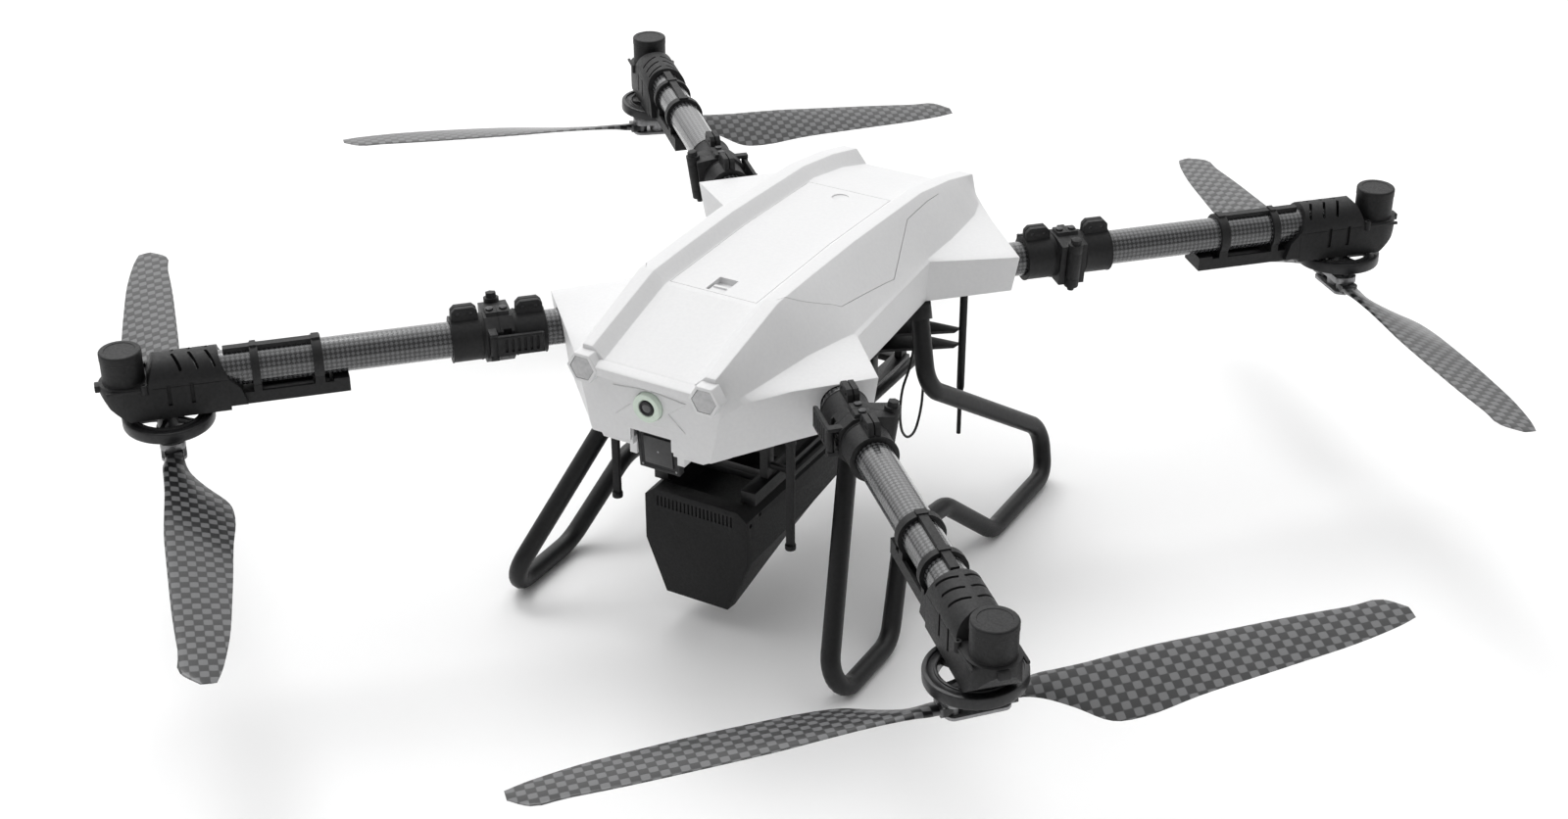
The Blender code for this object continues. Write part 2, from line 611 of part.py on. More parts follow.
def build_shells(looks):
    outside = hull(0.0, 0.0)
    inside = hull(SKIN, 0.02)
    arches = []
    for corner, centre, azimuth, hand in ARMS:
        frame = arm_matrix(centre, azimuth, hand)
        arches.append(moved(rod((-0.470, 0, ARM_Z), (-0.380, 0, ARM_Z), TUBE_R + 0.0012, 28), frame))
        arches.append(moved(box((-0.470, -TUBE_R - 0.0012, 0.28), (-0.380, TUBE_R + 0.0012, ARM_Z)), frame))
    skin = cut(outside, inside)
    # the arches go through the outer walls only, so the cutters stop inside the cavity
    skin = cut(skin, *arches)
    nose_z = between(DECK_Z, HULL_STATIONS[0][0])
    lip_outline = [(-0.2925, nose_z), (-0.3030, 0.3618), (-0.3030, 0.3520), (-0.2925, 0.3490),
                   (-0.2880, 0.3490), (-0.2880, nose_z)]
    lip = prism(lip_outline, -0.0600, 0.0600, "X")
    star = prism(STAR, -0.2917, -0.2895, "Y")
    stubs = [prism(hexagon(side * LIGHT_X, LIGHT_Z, LIGHT_R), -0.3040, -0.2880, "Y") for side in (-1, 1)]
    pocket = [prism(hexagon(side * LIGHT_X, LIGHT_Z, LENS_R + 0.0004), -0.3050, -0.3005, "Y")
              for side in (-1, 1)]
    lens_hole = rod((0, -0.31, CAMERA_Z), (0, -0.28, CAMERA_Z), CAMERA_R + 0.0006, 32)
    skin = cut(union(skin, lip, star, *stubs), *pocket, lens_hole, nose_bay())
    cover_cut = prism(plan_outline(CANOPY_PLAN, SEAM / 2), 0.34, 0.43, "Z")
    cover_keep = prism(plan_outline(CANOPY_PLAN, -SEAM / 2), 0.33, 0.44, "Z")
    main_shell = cut(skin.copy(), cover_cut)
    cover = common(skin, cover_keep)
    opening = box((-HATCH_HALF_WIDTH, HATCH_FRONT_Y, 0.36), (HATCH_HALF_WIDTH, HATCH_REAR_Y, 0.45))
    lid = box((-HATCH_HALF_WIDTH + SEAM, HATCH_FRONT_Y + SEAM, 0.37),
              (HATCH_HALF_WIDTH - SEAM, HATCH_REAR_Y - SEAM, 0.44))
    hatch = common(cover.copy(), lid)
    canopy = cut(cover, opening)
    latch_well = box((-0.0115, -0.1560, 0.3900), (0.0115, -0.1250, 0.4300))
    recess = rod((0.0, 0.128, 0.3975), (0.0, 0.128, 0.4200), 0.010, 20)
    walls = box((-0.0145, -0.1590, 0.3924), (0.0145, -0.1210, 0.4002))
    well = cut(walls, box((-0.0115, -0.1560, LATCH_FLOOR_Z), (0.0115, -0.1250, 0.43)))
    hatch = union(cut(hatch, latch_well, recess), well)
    add("main_shell", main_shell, looks["white"])
    add("canopy", canopy, looks["white"])
    add("top_hatch", hatch, looks["white"], (0.0, HATCH_REAR_Y, between(DECK_Z, HATCH_REAR_Y)))
    slider = box((-0.0100, -0.1530, LATCH_FLOOR_Z + 0.0005), (0.0100, -0.1380, LATCH_FLOOR_Z + 0.0045))
    grip = box((-0.0080, -0.1460, LATCH_FLOOR_Z + 0.0040), (0.0080, -0.1435, LATCH_FLOOR_Z + 0.0065))
    add("hatch_latch", union(slider, grip), looks["white"], (0.0, -0.1455, LATCH_FLOOR_Z + 0.0025))
    for side, name in ((1, "marker_light_left"), (-1, "marker_light_right")):
        lens = prism(hexagon(side * LIGHT_X, LIGHT_Z, LENS_R), -0.3036, -0.3010, "Y")
        add(name, lens, looks["lens"])


def build_belly(looks):
    """Lower white hull under the nose, open at the top, closed by the frame above it."""
    rows = []
    for y, half_low, half_high, low in ((-0.2865, 0.0620, 0.0690, 0.2700), (-0.2600, 0.0760, 0.0930, 0.2690),
                                       (-0.2200, 0.0860, 0.1080, 0.2740), (-0.1500, 0.0800, 0.1040, 0.2860)):
        rows.append([(-half_low, y, low), (half_low, y, low), (half_high, y, low + 0.0120),
                     (half_high * 0.99, y, 0.3010), (-half_high * 0.99, y, 0.3010),
                     (-half_high, y, low + 0.0120)])
    solid = loft(rows)
    hollow_plan = [(-0.058, -0.283), (0.058, -0.283), (0.088, -0.220), (0.082, -0.153),
                   (-0.082, -0.153), (-0.088, -0.220)]
    hollow = prism(hollow_plan, 0.2780, 0.32, "Z")
    holes = [rod((side * 0.1125, -0.19, 0.26), (side * 0.1125, -0.19, 0.31), 0.0068, 16) for side in (-1, 1)]
    tabs = [box((side * 0.029 - 0.005, -0.2790, 0.2550), (side * 0.029 + 0.005, -0.2660, 0.2800))
            for side in (-1, 1)]
    add("belly_shell", cut(union(solid, *tabs), hollow, *holes, nose_bay()), looks["white"])


RADAR_SIDE = 0.0500
RADAR_Y = -0.2720
RADAR_Z = 0.2635
RADAR_TILT = math.radians(5.6)
BAY_REAR_Y = -0.2640
BAY_TOP_Z = 0.2920


def nose_bay():
    """Room for the radar panel under the nose."""
    half = RADAR_SIDE / 2 + GAP
    return box((-half, -0.3000, 0.2300), (half, BAY_REAR_Y, BAY_TOP_Z))


def build_camera(looks):
    stations = ((CAMERA_R, 0.0), (CAMERA_R, 0.0200), (CAMERA_R - 0.0010, 0.0222), (0.0085, 0.0210),
                (0.0068, 0.0223))
    turn = Matrix.Translation((0, -0.2760, CAMERA_Z)) @ Matrix.Rotation(math.pi / 2, 4, "X")
    add("fpv_camera", moved(lathe(stations, 28), turn), looks["camera"])
    half = RADAR_SIDE / 2
    plate = box((-half, -0.0045, -half), (half, 0.0045, half))
    face = box((-half + 0.0035, -0.0055, -half + 0.0035), (half - 0.0035, -0.0037, half - 0.0035))
    turn = Matrix.Translation((0, RADAR_Y, RADAR_Z)) @ Matrix.Rotation(RADAR_TILT, 4, "X")
    add("radar_panel", moved(cut(plate, face), turn), looks["black"])


def build_frame(looks):
    """Centre plate with four tube sockets, bolted between the shell and the gear."""
    top = FRAME_LOW_Z + FRAME_THICKNESS
    half = [(0.0, -0.2150), (0.0600, -0.2150), (0.1450, -0.1650), (0.1480, -0.1300), (0.1250, -0.0950),
            (0.1180, 0.0950), (0.1180, 0.1060), (0.1480, 0.1420), (0.1550, 0.1680), (0.0850, 0.2150),
            (0.0, 0.2150)]
    outline = half + [(-x, y) for x, y in reversed(half) if x > 0]
    plate = prism(outline, FRAME_LOW_Z, top, "Z")
    sockets, bores = [], []
    for corner, centre, azimuth, hand in ARMS:
        frame = arm_matrix(centre, azimuth, hand)
        sleeve = rod((ROOT_END_U - 0.004, 0, ARM_Z), (-0.462, 0, ARM_Z), SLEEVE_R, ROUND)
        saddle = box((ROOT_END_U - 0.003, -0.018, FRAME_LOW_Z + BITE), (-0.463, 0.018, ARM_Z))
        sockets += [moved(sleeve, frame), moved(saddle, frame)]
        bores.append(moved(rod((ROOT_END_U - GAP, 0, ARM_Z), (-0.455, 0, ARM_Z), SEAT_R, ROUND), frame))
        opened = box((ROOT_END_U - 0.01, -0.03, ARM_Z + 0.006), (-0.455, 0.03, ARM_Z + 0.03))
        bores.append(moved(opened, frame))
    for side in (-1, 1):
        for end, before in ((GEAR_BENDS[0], GEAR_BENDS[1]), (GEAR_BENDS[-1], GEAR_BENDS[-2])):
            top_point = Vector((side * gear_x(end[1]), end[0], end[1]))
            below = Vector((side * gear_x(before[1]), before[0], before[1]))
            along = (top_point - below).normalized()
            sleeve = rod(top_point - along * 0.014, top_point + along * 0.0075, GEAR_TUBE_R + 0.0035, 16)
            sockets.append(common(sleeve, box((-0.2, -0.2, 0.25), (0.2, 0.2, FRAME_LOW_Z + 0.0010))))
            bores.append(rod(top_point - along * 0.02, top_point + along * GAP, GEAR_TUBE_R + GAP, 16))
    windows = [box((-0.045, y, 0.29), (0.045, y + 0.07, 0.31)) for y in (-0.11, 0.03)]
    add("centre_frame", cut(union(plate, *sockets), *bores, *windows), looks["black"])
    tray = [box((-0.040, -0.075, top + GAP), (0.040, 0.075, top + 0.022)),
            box((-0.030, -0.060, top + 0.020), (0.030, 0.060, top + 0.034))]
    add("flight_controller", union(*tray), looks["black"])


def gear_x(z):
    return GEAR_FOOT_X - GEAR_LEAN * (z - GEAR_FOOT_Z)


# y and z of the bends of one landing-gear tube, front top to rear top, with the bend's radius
GEAR_BENDS = (
    (-0.0562, 0.2950, 0.0),
    (-0.2936, GEAR_FOOT_Z, 0.030),
    (-0.1450, GEAR_FOOT_Z, 0.045),
    (-0.0620, 0.0960, 0.035),
    (0.0400, 0.0840, 0.035),
    (0.1230, GEAR_FOOT_Z, 0.035),
    (0.2740, GEAR_FOOT_Z, 0.030),
    (0.2960, 0.0620, 0.030),
    (0.0700, 0.2140, 0.035),
    (0.0993, 0.2980, 0.0),
)


def rounded_route(points, radii, steps=4):
    """Replace each inner corner of a polyline by an arc of its own radius."""
    route = [points[0]]
    for before, here, after, radius in zip(points, points[1:], points[2:], radii[1:]):
        a, b = (before - here).normalized(), (after - here).normalized()
        half = a.angle(b) / 2
        reach = radius / math.tan(half)
        centre = here + (a + b).normalized() * (radius / math.sin(half))
        start, end = here + a * reach - centre, here + b * reach - centre
        for k in range(steps + 1):
            route.append(centre + start.slerp(end, k / steps).normalized() * radius)
    route.append(points[-1])
    return route


def bent_tube(name, route, radius, look, resolution):
    curve = bpy.data.curves.new(name, "CURVE")
    curve.dimensions = "3D"
    curve.bevel_depth = radius
    curve.bevel_resolution = resolution
    curve.use_fill_caps = True
    spline = curve.splines.new("POLY")
    spline.points.add(len(route) - 1)
    for point, place in zip(spline.points, route):
        point.co = (*place, 1.0)
    curve.materials.append(look)
    spline.use_smooth = True
    item = bpy.data.objects.new(name, curve)
    bpy.context.scene.collection.objects.link(item)
    return item


def build_gear(looks):
    points = [Vector((gear_x(z), y, z)) for y, z, radius in GEAR_BENDS]
    route = rounded_route(points, [radius for y, z, radius in GEAR_BENDS])
    bent_tube("gear_left", route, GEAR_TUBE_R, looks["black"], 2)
    bent_tube("gear_right", [Vector((-p.x, p.y, p.z)) for p in route], GEAR_TUBE_R, looks["black"], 2)


TRAY_TOP_Z = 0.1640
RAIL_X = 0.0560
GUIDE_X = 0.0880
GUIDE_Z = 0.1950


def build_battery(looks):
    """Slide-out battery box with a tapering lower half, and the rails that it hangs on."""
    rows = []
    for y, low_half, low_z, side_z, side_half in ((-0.2050, 0.0400, 0.0320, 0.0970, 0.0655),
                                                  (-0.1900, 0.0410, 0.0315, 0.0970, 0.0660),
                                                  (-0.0700, 0.0480, 0.0700, 0.1020, 0.0675),
                                                  (0.0600, 0.0560, 0.1040, 0.1180, 0.0690)):
        rows.append([(-low_half, y, low_z), (low_half, y, low_z), (side_half, y, side_z),
                     (side_half, y, TRAY_TOP_Z - 0.010), (side_half - 0.012, y, TRAY_TOP_Z),
                     (-side_half + 0.012, y, TRAY_TOP_Z), (-side_half, y, TRAY_TOP_Z - 0.010),
                     (-side_half, y, side_z)])
    solid = loft(rows)
    well = box((-0.044, -0.185, 0.1420), (0.044, 0.045, TRAY_TOP_Z + BITE))
    vents = []
    for k in range(20):
        x = -0.0500 + 0.00500 * k
        vents.append(box((x, -0.2065, 0.1430), (x + 0.0022, -0.2030, 0.1560)))
    side_holes = [rod((side * 0.060, y, z), (side * 0.075, y, z), 0.0026, 10)
                  for side in (-1, 1) for y, z in ((-0.196, 0.146), (-0.176, 0.151))]
    ribs = [box((-0.0445, -0.0730, 0.1415), (0.0445, -0.0700, 0.1600))]
    add("battery_pack", union(cut(solid, well, *vents, *side_holes), *ribs), looks["black"])
    rails = []
    for side in (-1, 1):
        low, high = sorted((side * (RAIL_X - 0.009), side * (RAIL_X + 0.009)))
        rails.append(box((low, -0.1850, TRAY_TOP_Z + 0.0010), (high, 0.1900, TRAY_TOP_Z + 0.0170)))
        rails.append(rod((side * GUIDE_X, -0.1480, GUIDE_Z), (side * GUIDE_X, 0.1860, GUIDE_Z), 0.0060, 12))
        arm_low, arm_high = sorted((side * (RAIL_X - 0.004), side * GUIDE_X))
        for y in (-0.1450, 0.1790):
            rails.append(box((arm_low, y, GUIDE_Z - 0.003), (arm_high, y + 0.006, GUIDE_Z + 0.003)))
        for y in (-0.150, 0.100, 0.176):
            rails.append(box((side * RAIL_X - 0.005, y, TRAY_TOP_Z + 0.016),
                             (side * RAIL_X + 0.005, y + 0.014, FRAME_LOW_Z - GAP)))
    for y in (-0.148, 0.174):
        rails.append(box((-RAIL_X, y, TRAY_TOP_Z + 0.0080), (RAIL_X, y + 0.012, TRAY_TOP_Z + 0.0165)))
    rails.append(box((-0.070, 0.0900, 0.2240), (0.070, 0.1560, 0.2600)))
    plate = [(0.060, 0.0920), (0.1410, 0.1520), (0.1424, 0.1620), (0.060, 0.1560)]
    for low in (0.2260, 0.2460):
        rails.append(prism(plate, low, low + 0.004, "Z"))
    add("rail_frame", union(*rails), looks["black"])


WHIP_X = 0.1475
WHIP_Y = 0.1610


def build_antennas(looks):
    for side, name in ((1, "antenna_front_left"), (-1, "antenna_front_right")):
        x = side * 0.1125
        bar = union(box((x - 0.0045, -0.1925, 0.1290), (x + 0.0045, -0.1875, 0.2850)),
                    rod((x, -0.19, 0.2600), (x, -0.19, FRAME_LOW_Z - 0.004), 0.0060, 12),
                    rod((x, -0.19, 0.1280), (x, -0.19, 0.1340), 0.0062, 12))
        add(name, bar, looks["black"])
    stations = ((0.0026, 0.1080), (0.0026, 0.1620), (0.0046, 0.1720), (0.0046, FRAME_LOW_Z - 0.0006))
    add("antenna_rear", moved(lathe(stations, 12), Matrix.Translation((WHIP_X, WHIP_Y, 0))), looks["black"])


# route of the cable loop under the tail, chosen by hand
CABLE_POINTS = ((0.1000, 0.1280, 0.2245), (0.1005, 0.1180, 0.2050), (0.1010, 0.1000, 0.1850),
                (0.1025, 0.0920, 0.1580), (0.1035, 0.0960, 0.1320), (0.1040, 0.1120, 0.1150),
                (0.1040, 0.1320, 0.1160), (0.1030, 0.1480, 0.1400), (0.1015, 0.1540, 0.1700),
                (0.1005, 0.1540, 0.2000), (0.1000, 0.1500, 0.2245))
CABLE_R = 0.0016


def smooth_route(points, steps):
    """Catmull-Rom curve through the points."""
    points = [Vector(p) for p in points]
    ends = [points[0] * 2 - points[1], *points, points[-1] * 2 - points[-2]]
    route = []
    for a, b, c, d in zip(ends, ends[1:], ends[2:], ends[3:]):
        for k in range(steps):
            t = k / steps
            route.append(0.5 * (2 * b + (c - a) * t + (2 * a - 5 * b + 4 * c - d) * t ** 2
                                + (3 * b - a - 3 * c + d) * t ** 3))
    return route + [points[-1]]


def build_cable(looks):
    bent_tube("cable_loop", smooth_route(CABLE_POINTS, 5), CABLE_R, looks["cable"], 1)


def main():
    clear_scene()
    looks = {
        "white": material("white_shell", (0.86, 0.86, 0.86), 0.38),
        "black": material("black_coat", (0.020, 0.020, 0.021), 0.50),
        "nylon": material("black_nylon", (0.028, 0.028, 0.030), 0.55),
        "carbon": material("carbon_weave", (0.075, 0.077, 0.080), 0.30),
        "motor": material("motor_black", (0.022, 0.022, 0.024), 0.42, 0.4),
        "lens": material("marker_lens", (0.70, 0.72, 0.74), 0.15),
        "camera": material("camera_glass", (0.03, 0.04, 0.035), 0.12),
        "cable": material("cable_jacket", (0.015, 0.015, 0.015), 0.60),
    }
    build_arms(looks)
    build_shells(looks)
    build_belly(looks)
    build_camera(looks)
    build_frame(looks)
    build_gear(looks)
    build_battery(looks)
    build_antennas(looks)
    build_cable(looks)


main()
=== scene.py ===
"""Looks of the four-arm farm drone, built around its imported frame. Metres, +Z up, nose towards -Y."""
import json
import math

import bmesh
import bpy
import numpy as np
from mathutils import Matrix, Vector

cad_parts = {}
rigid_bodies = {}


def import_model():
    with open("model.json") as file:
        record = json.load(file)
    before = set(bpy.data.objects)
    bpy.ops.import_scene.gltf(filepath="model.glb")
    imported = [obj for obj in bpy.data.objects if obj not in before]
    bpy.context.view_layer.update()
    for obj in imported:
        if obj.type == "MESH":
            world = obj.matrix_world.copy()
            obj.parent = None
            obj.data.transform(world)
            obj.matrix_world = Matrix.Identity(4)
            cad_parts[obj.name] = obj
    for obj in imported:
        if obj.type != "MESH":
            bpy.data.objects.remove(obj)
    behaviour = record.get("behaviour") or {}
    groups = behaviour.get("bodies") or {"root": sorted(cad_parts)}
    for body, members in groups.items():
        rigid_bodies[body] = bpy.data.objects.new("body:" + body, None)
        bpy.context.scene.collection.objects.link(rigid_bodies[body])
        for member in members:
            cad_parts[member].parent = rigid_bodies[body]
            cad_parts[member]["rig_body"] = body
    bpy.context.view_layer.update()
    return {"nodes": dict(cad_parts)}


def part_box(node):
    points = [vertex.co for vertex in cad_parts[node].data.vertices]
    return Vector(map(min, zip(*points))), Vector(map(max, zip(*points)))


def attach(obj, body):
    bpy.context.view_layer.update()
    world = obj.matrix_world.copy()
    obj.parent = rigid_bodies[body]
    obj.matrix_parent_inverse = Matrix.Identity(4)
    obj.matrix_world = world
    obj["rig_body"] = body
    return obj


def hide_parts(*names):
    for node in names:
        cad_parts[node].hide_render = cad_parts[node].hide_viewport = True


for leftover in list(bpy.data.objects):
    bpy.data.objects.remove(leftover, do_unlink=True)
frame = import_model()

GAP = 0.0003
BITE = 0.001
ARM_Z = 0.333
TUBE_R = 0.020
TUBE_SIDES = 72
SEAT_R = TUBE_R + GAP
SLEEVE_R = 0.0255
STRAP_R = 0.0245
FOLD_U = -0.358
CLAMP_HALF_LENGTH = 0.052
FLANGE_LENGTH = 0.0155
SOCKET_FLOOR = 0.004
PIN_V = 0.031
PIN_TILT = math.radians(8.0)
PIN_R = 0.004
LUG_R = 0.0085
LUG_SPLIT = 0.0172
LUG_END = 0.0285
PIN_END = 0.0345
ROOT_END_U = -0.500
ARM_TUBE_END_U = -0.0183
LEVER_PIVOT_U = -0.3490
LEVER_V = -0.0340
LEVER_LOW_Z = 0.3240
LEVER_HIGH_Z = 0.3470
LEVER_LENGTH = 0.055
LEVER_SLOTS = 6
POD_HALF_WIDTH = 0.0265
POD_FLOOR_Z = 0.2955
BOSS_U = 0.0205
BOSS_V = 0.0262
ARCH_STEPS = 40
CAP_U = 0.0406
CAP_R = 0.0225
CAP_LOW_Z = 0.3345
CAP_HIGH_Z = 0.3700
MOTOR_Z = 0.285
MOTOR_CANT = math.radians(3.0)
MOTOR_WEBS = 5
BLADE_PIN_R = 0.024
BLADE_Z = -0.0310
BLADE_ROOT_THICKNESS = 0.0096
PROP_R = 0.432
ARMS = (
    ("front_right", (-0.4775, -0.4995), 225.0, -1),
    ("front_left", (0.4775, -0.4995), 315.0, 1),
    ("rear_left", (0.4870, 0.4995), 45.0, -1),
    ("rear_right", (-0.4870, 0.4995), 135.0, 1),
)


# ---- materials

class Graph:
    """A small builder for one material's nodes."""

    def __init__(self, name, **constants):
        self.material = bpy.data.materials.new(name)
        self.material.use_nodes = True
        self.tree = self.material.node_tree
        self.shader = self.tree.nodes["Principled BSDF"]
        for socket, value in constants.items():
            self.shader.inputs[socket.replace("_", " ")].default_value = value

    def node(self, kind, values=None, **settings):
        """Add a node; values fill its sockets, settings its properties."""
        made = self.tree.nodes.new("ShaderNode" + kind)
        for key, value in settings.items():
            setattr(made, key, value)
        for socket, value in (values or {}).items():
            made.inputs[socket].default_value = value
        return made

    def link(self, source, target):
        self.tree.links.new(source, target)

    def maths(self, operation, a, b=0.0):
        made = self.node("Math", operation=operation)
        for socket, value in zip(made.inputs, (a, b)):
            if isinstance(value, (int, float)):
                socket.default_value = value
            else:
                self.link(value, socket)
        return made.outputs[0]

    def noise(self, scale, detail, roughness=0.55):
        made = self.node("TexNoise", {"Scale": scale, "Detail": detail, "Roughness": roughness})
        self.link(self.node("TexCoord").outputs["Object"], made.inputs["Vector"])
        return made.outputs["Fac"]

    def ramp(self, value, low, high, start, end):
        made = self.node("ValToRGB")
        for stop, place, colour in zip(made.color_ramp.elements, (start, end), (low, high)):
            stop.position = place
            stop.color = (*colour, 1.0)
        self.link(value, made.inputs["Fac"])
        return made.outputs["Color"]

    def spread(self, value, low, high, start=0.0, end=1.0):
        made = self.node("MapRange", {"From Min": start, "From Max": end, "To Min": low, "To Max": high})
        self.link(value, made.inputs["Value"])
        return made.outputs["Result"]

    def bump(self, height, distance):
        made = self.node("Bump", {"Strength": 1.0, "Distance": distance})
        self.link(height, made.inputs["Height"])
        return made.outputs["Normal"]

    def finish(self, colour=None, roughness=None, normal=None):
        for socket, value in (("Base Color", colour), ("Roughness", roughness), ("Normal", normal)):
            if value is not None:
                self.link(value, self.shader.inputs[socket])
        return self.material


MOTTLE_SCALE = 240.0
GLOSS_SCALE = 420.0
CLOUD_SCALE = 26.0
FIBRES_PER_TOW = 14.0


def moulded(name, low, high, rough, grain, depth, **constants):
    """Plastic or coated metal: faint mottling, uneven gloss and a fine grain."""
    g = Graph(name, **constants)
    colour = g.ramp(g.noise(MOTTLE_SCALE, 5.0), low, high, 0.25, 0.75)
    roughness = g.spread(g.noise(GLOSS_SCALE, 3.0), rough[0], rough[1], 0.30, 0.70)
    normal = g.bump(g.noise(grain, 2.0, 0.5), depth)
    return g.finish(colour, roughness, normal)


def woven(name, pitch, turned_by, dark, light, rough, depth, **constants):
    """Checker of carbon tows under clear resin, laid out by the piece's own UV map, in metres."""
    g = Graph(name, **constants)
    flat = g.node("UVMap", uv_map="weave").outputs["UV"]
    turn = g.node("VectorRotate", {"Angle": math.radians(turned_by)}, rotation_type="Z_AXIS")
    g.link(flat, turn.inputs["Vector"])
    parts = g.node("SeparateXYZ")
    g.link(turn.outputs["Vector"], parts.inputs["Vector"])
    across = g.maths("MULTIPLY", parts.outputs["X"], math.pi / pitch)
    along = g.maths("MULTIPLY", parts.outputs["Y"], math.pi / pitch)
    crown = g.maths("MULTIPLY", g.maths("SINE", across), g.maths("SINE", along))
    fibres_a = g.maths("SINE", g.maths("MULTIPLY", across, FIBRES_PER_TOW))
    fibres_b = g.maths("SINE", g.maths("MULTIPLY", along, FIBRES_PER_TOW))
    lit = g.spread(crown, 0.0, 1.0, -0.10, 0.24)
    lit.node.interpolation_type = "SMOOTHSTEP"
    blend = g.node("Mix", data_type="FLOAT")
    g.link(lit, blend.inputs["Factor"])
    g.link(fibres_a, blend.inputs["A"])
    g.link(fibres_b, blend.inputs["B"])
    clouds = g.maths("SUBTRACT", g.noise(CLOUD_SCALE, 3.0), 0.5)
    cloudy = g.maths("ADD", lit, g.maths("MULTIPLY", clouds, 0.30))
    streaky = g.maths("ADD", cloudy, g.maths("MULTIPLY", blend.outputs["Result"], 0.055))
    colour = g.ramp(streaky, dark, light, 0.02, 0.98)
    fine = g.maths("MULTIPLY", blend.outputs["Result"], 0.06)
    height = g.maths("ADD", g.maths("ABSOLUTE", crown), fine)
    roughness = g.spread(lit, rough[0], rough[1])
    return g.finish(colour, roughness, g.bump(height, depth))


WHITE = moulded("white_shell", (0.675, 0.675, 0.68), (0.712, 0.712, 0.715),
                (0.38, 0.50), 900.0, 0.00005, Specular_IOR_Level=0.35)
NYLON = moulded("black_nylon", (0.006, 0.006, 0.0065), (0.014, 0.014, 0.0145),
                (0.44, 0.62), 1500.0, 0.00010, Specular_IOR_Level=0.30)
COAT = moulded("black_coat", (0.005, 0.005, 0.0055), (0.010, 0.010, 0.0105),
               (0.34, 0.50), 2200.0, 0.00006, Specular_IOR_Level=0.32)
CASE = moulded("battery_case", (0.006, 0.006, 0.0065), (0.011, 0.011, 0.0115),
               (0.52, 0.68), 1200.0, 0.00008, Specular_IOR_Level=0.25)
MODULE = moulded("module_case", (0.010, 0.010, 0.011), (0.020, 0.020, 0.021),
                 (0.38, 0.55), 1400.0, 0.00006, Specular_IOR_Level=0.30)
WINDOW = moulded("radar_window", (0.022, 0.022, 0.023), (0.034, 0.034, 0.035),
                 (0.28, 0.40), 1400.0, 0.00003)
ANTENNA = moulded("antenna_case", (0.005, 0.005, 0.0055), (0.010, 0.010, 0.0105),
                  (0.45, 0.60), 1500.0, 0.00006, Specular_IOR_Level=0.25)
MOTOR = moulded("motor_black", (0.010, 0.010, 0.011), (0.022, 0.022, 0.023),
                (0.30, 0.44), 1800.0, 0.00005, Metallic=0.35)
HUB_GREY = moulded("hub_grey", (0.20, 0.20, 0.205), (0.29, 0.29, 0.295),
                   (0.34, 0.48), 1600.0, 0.00005, Metallic=0.75)
STEEL = moulded("bolt_black", (0.03, 0.03, 0.032), (0.07, 0.07, 0.072),
                (0.28, 0.42), 1500.0, 0.00004, Metallic=0.8)
JACKET = moulded("cable_jacket", (0.010, 0.010, 0.010), (0.020, 0.020, 0.020),
                 (0.48, 0.62), 1500.0, 0.00008)
LENS = moulded("marker_lens", (0.40, 0.40, 0.405), (0.52, 0.52, 0.525),
               (0.08, 0.16), 500.0, 0.00002)
RING_GREEN = moulded("ring_green", (0.60, 0.70, 0.60), (0.68, 0.77, 0.68),
                     (0.25, 0.38), 900.0, 0.00004)
GLASS_DARK = moulded("camera_glass", (0.008, 0.009, 0.010), (0.016, 0.018, 0.018),
                     (0.05, 0.09), 400.0, 0.00001, Coat_Weight=1.0, Coat_Roughness=0.03)
TUBE_TURNS = 24
TUBE_PITCH = 2 * math.pi * TUBE_R / TUBE_TURNS / math.sqrt(2)
BLADE_PITCH = 0.0090
TUBE_WEAVE = woven("carbon_tube", TUBE_PITCH, 45.0, (0.018, 0.0185, 0.0195), (0.105, 0.106, 0.110),
                   (0.26, 0.36), 0.00008, Coat_Weight=0.8, Coat_Roughness=0.14, Metallic=0.3)
BLADE_WEAVE = woven("carbon_blade", BLADE_PITCH, 0.0, (0.006, 0.0062, 0.0068), (0.115, 0.116, 0.119),
                    (0.30, 0.38), 0.00008, Coat_Weight=0.28, Coat_Roughness=0.16,
                    Specular_IOR_Level=0.30)


# ---- solids

def linked(name, data):
    item = bpy.data.objects.new(name, data)
    bpy.context.scene.collection.objects.link(item)
    return item


def bridge(bm, a, b):
    """Faces between two closed rings of vertices."""
    for i in range(len(a)):
        j = (i + 1) % len(a)
        bm.faces.new((a[i], a[j], b[j], b[i]))


def mesh_of(bm):
    bmesh.ops.recalc_face_normals(bm, faces=bm.faces)
    mesh = bpy.data.meshes.new("solid")
    bm.to_mesh(mesh)
    bm.free()
    return mesh


def box(low, high):
    bm = bmesh.new()
    size = Vector(high) - Vector(low)
    centre = (Vector(high) + Vector(low)) / 2
    place = Matrix.Translation(centre) @ Matrix.Diagonal((*size, 1.0))
    bmesh.ops.create_cube(bm, size=1.0, matrix=place)
    return mesh_of(bm)


def prism(points, low, high, axis):
    """Extrude a flat outline; axis X takes (y, z) points, Y takes (x, z) and Z takes (x, y)."""
    bm = bmesh.new()
    place = {
        "X": lambda p, h: (h, p[0], p[1]),
        "Y": lambda p, h: (p[0], h, p[1]),
        "Z": lambda p, h: (p[0], p[1], h),
    }[axis]
    rings = [[bm.verts.new(place(p, h)) for p in points] for h in (low, high)]
    bm.faces.new(rings[0])
    bm.faces.new(rings[1])
    bridge(bm, *rings)
    return mesh_of(bm)


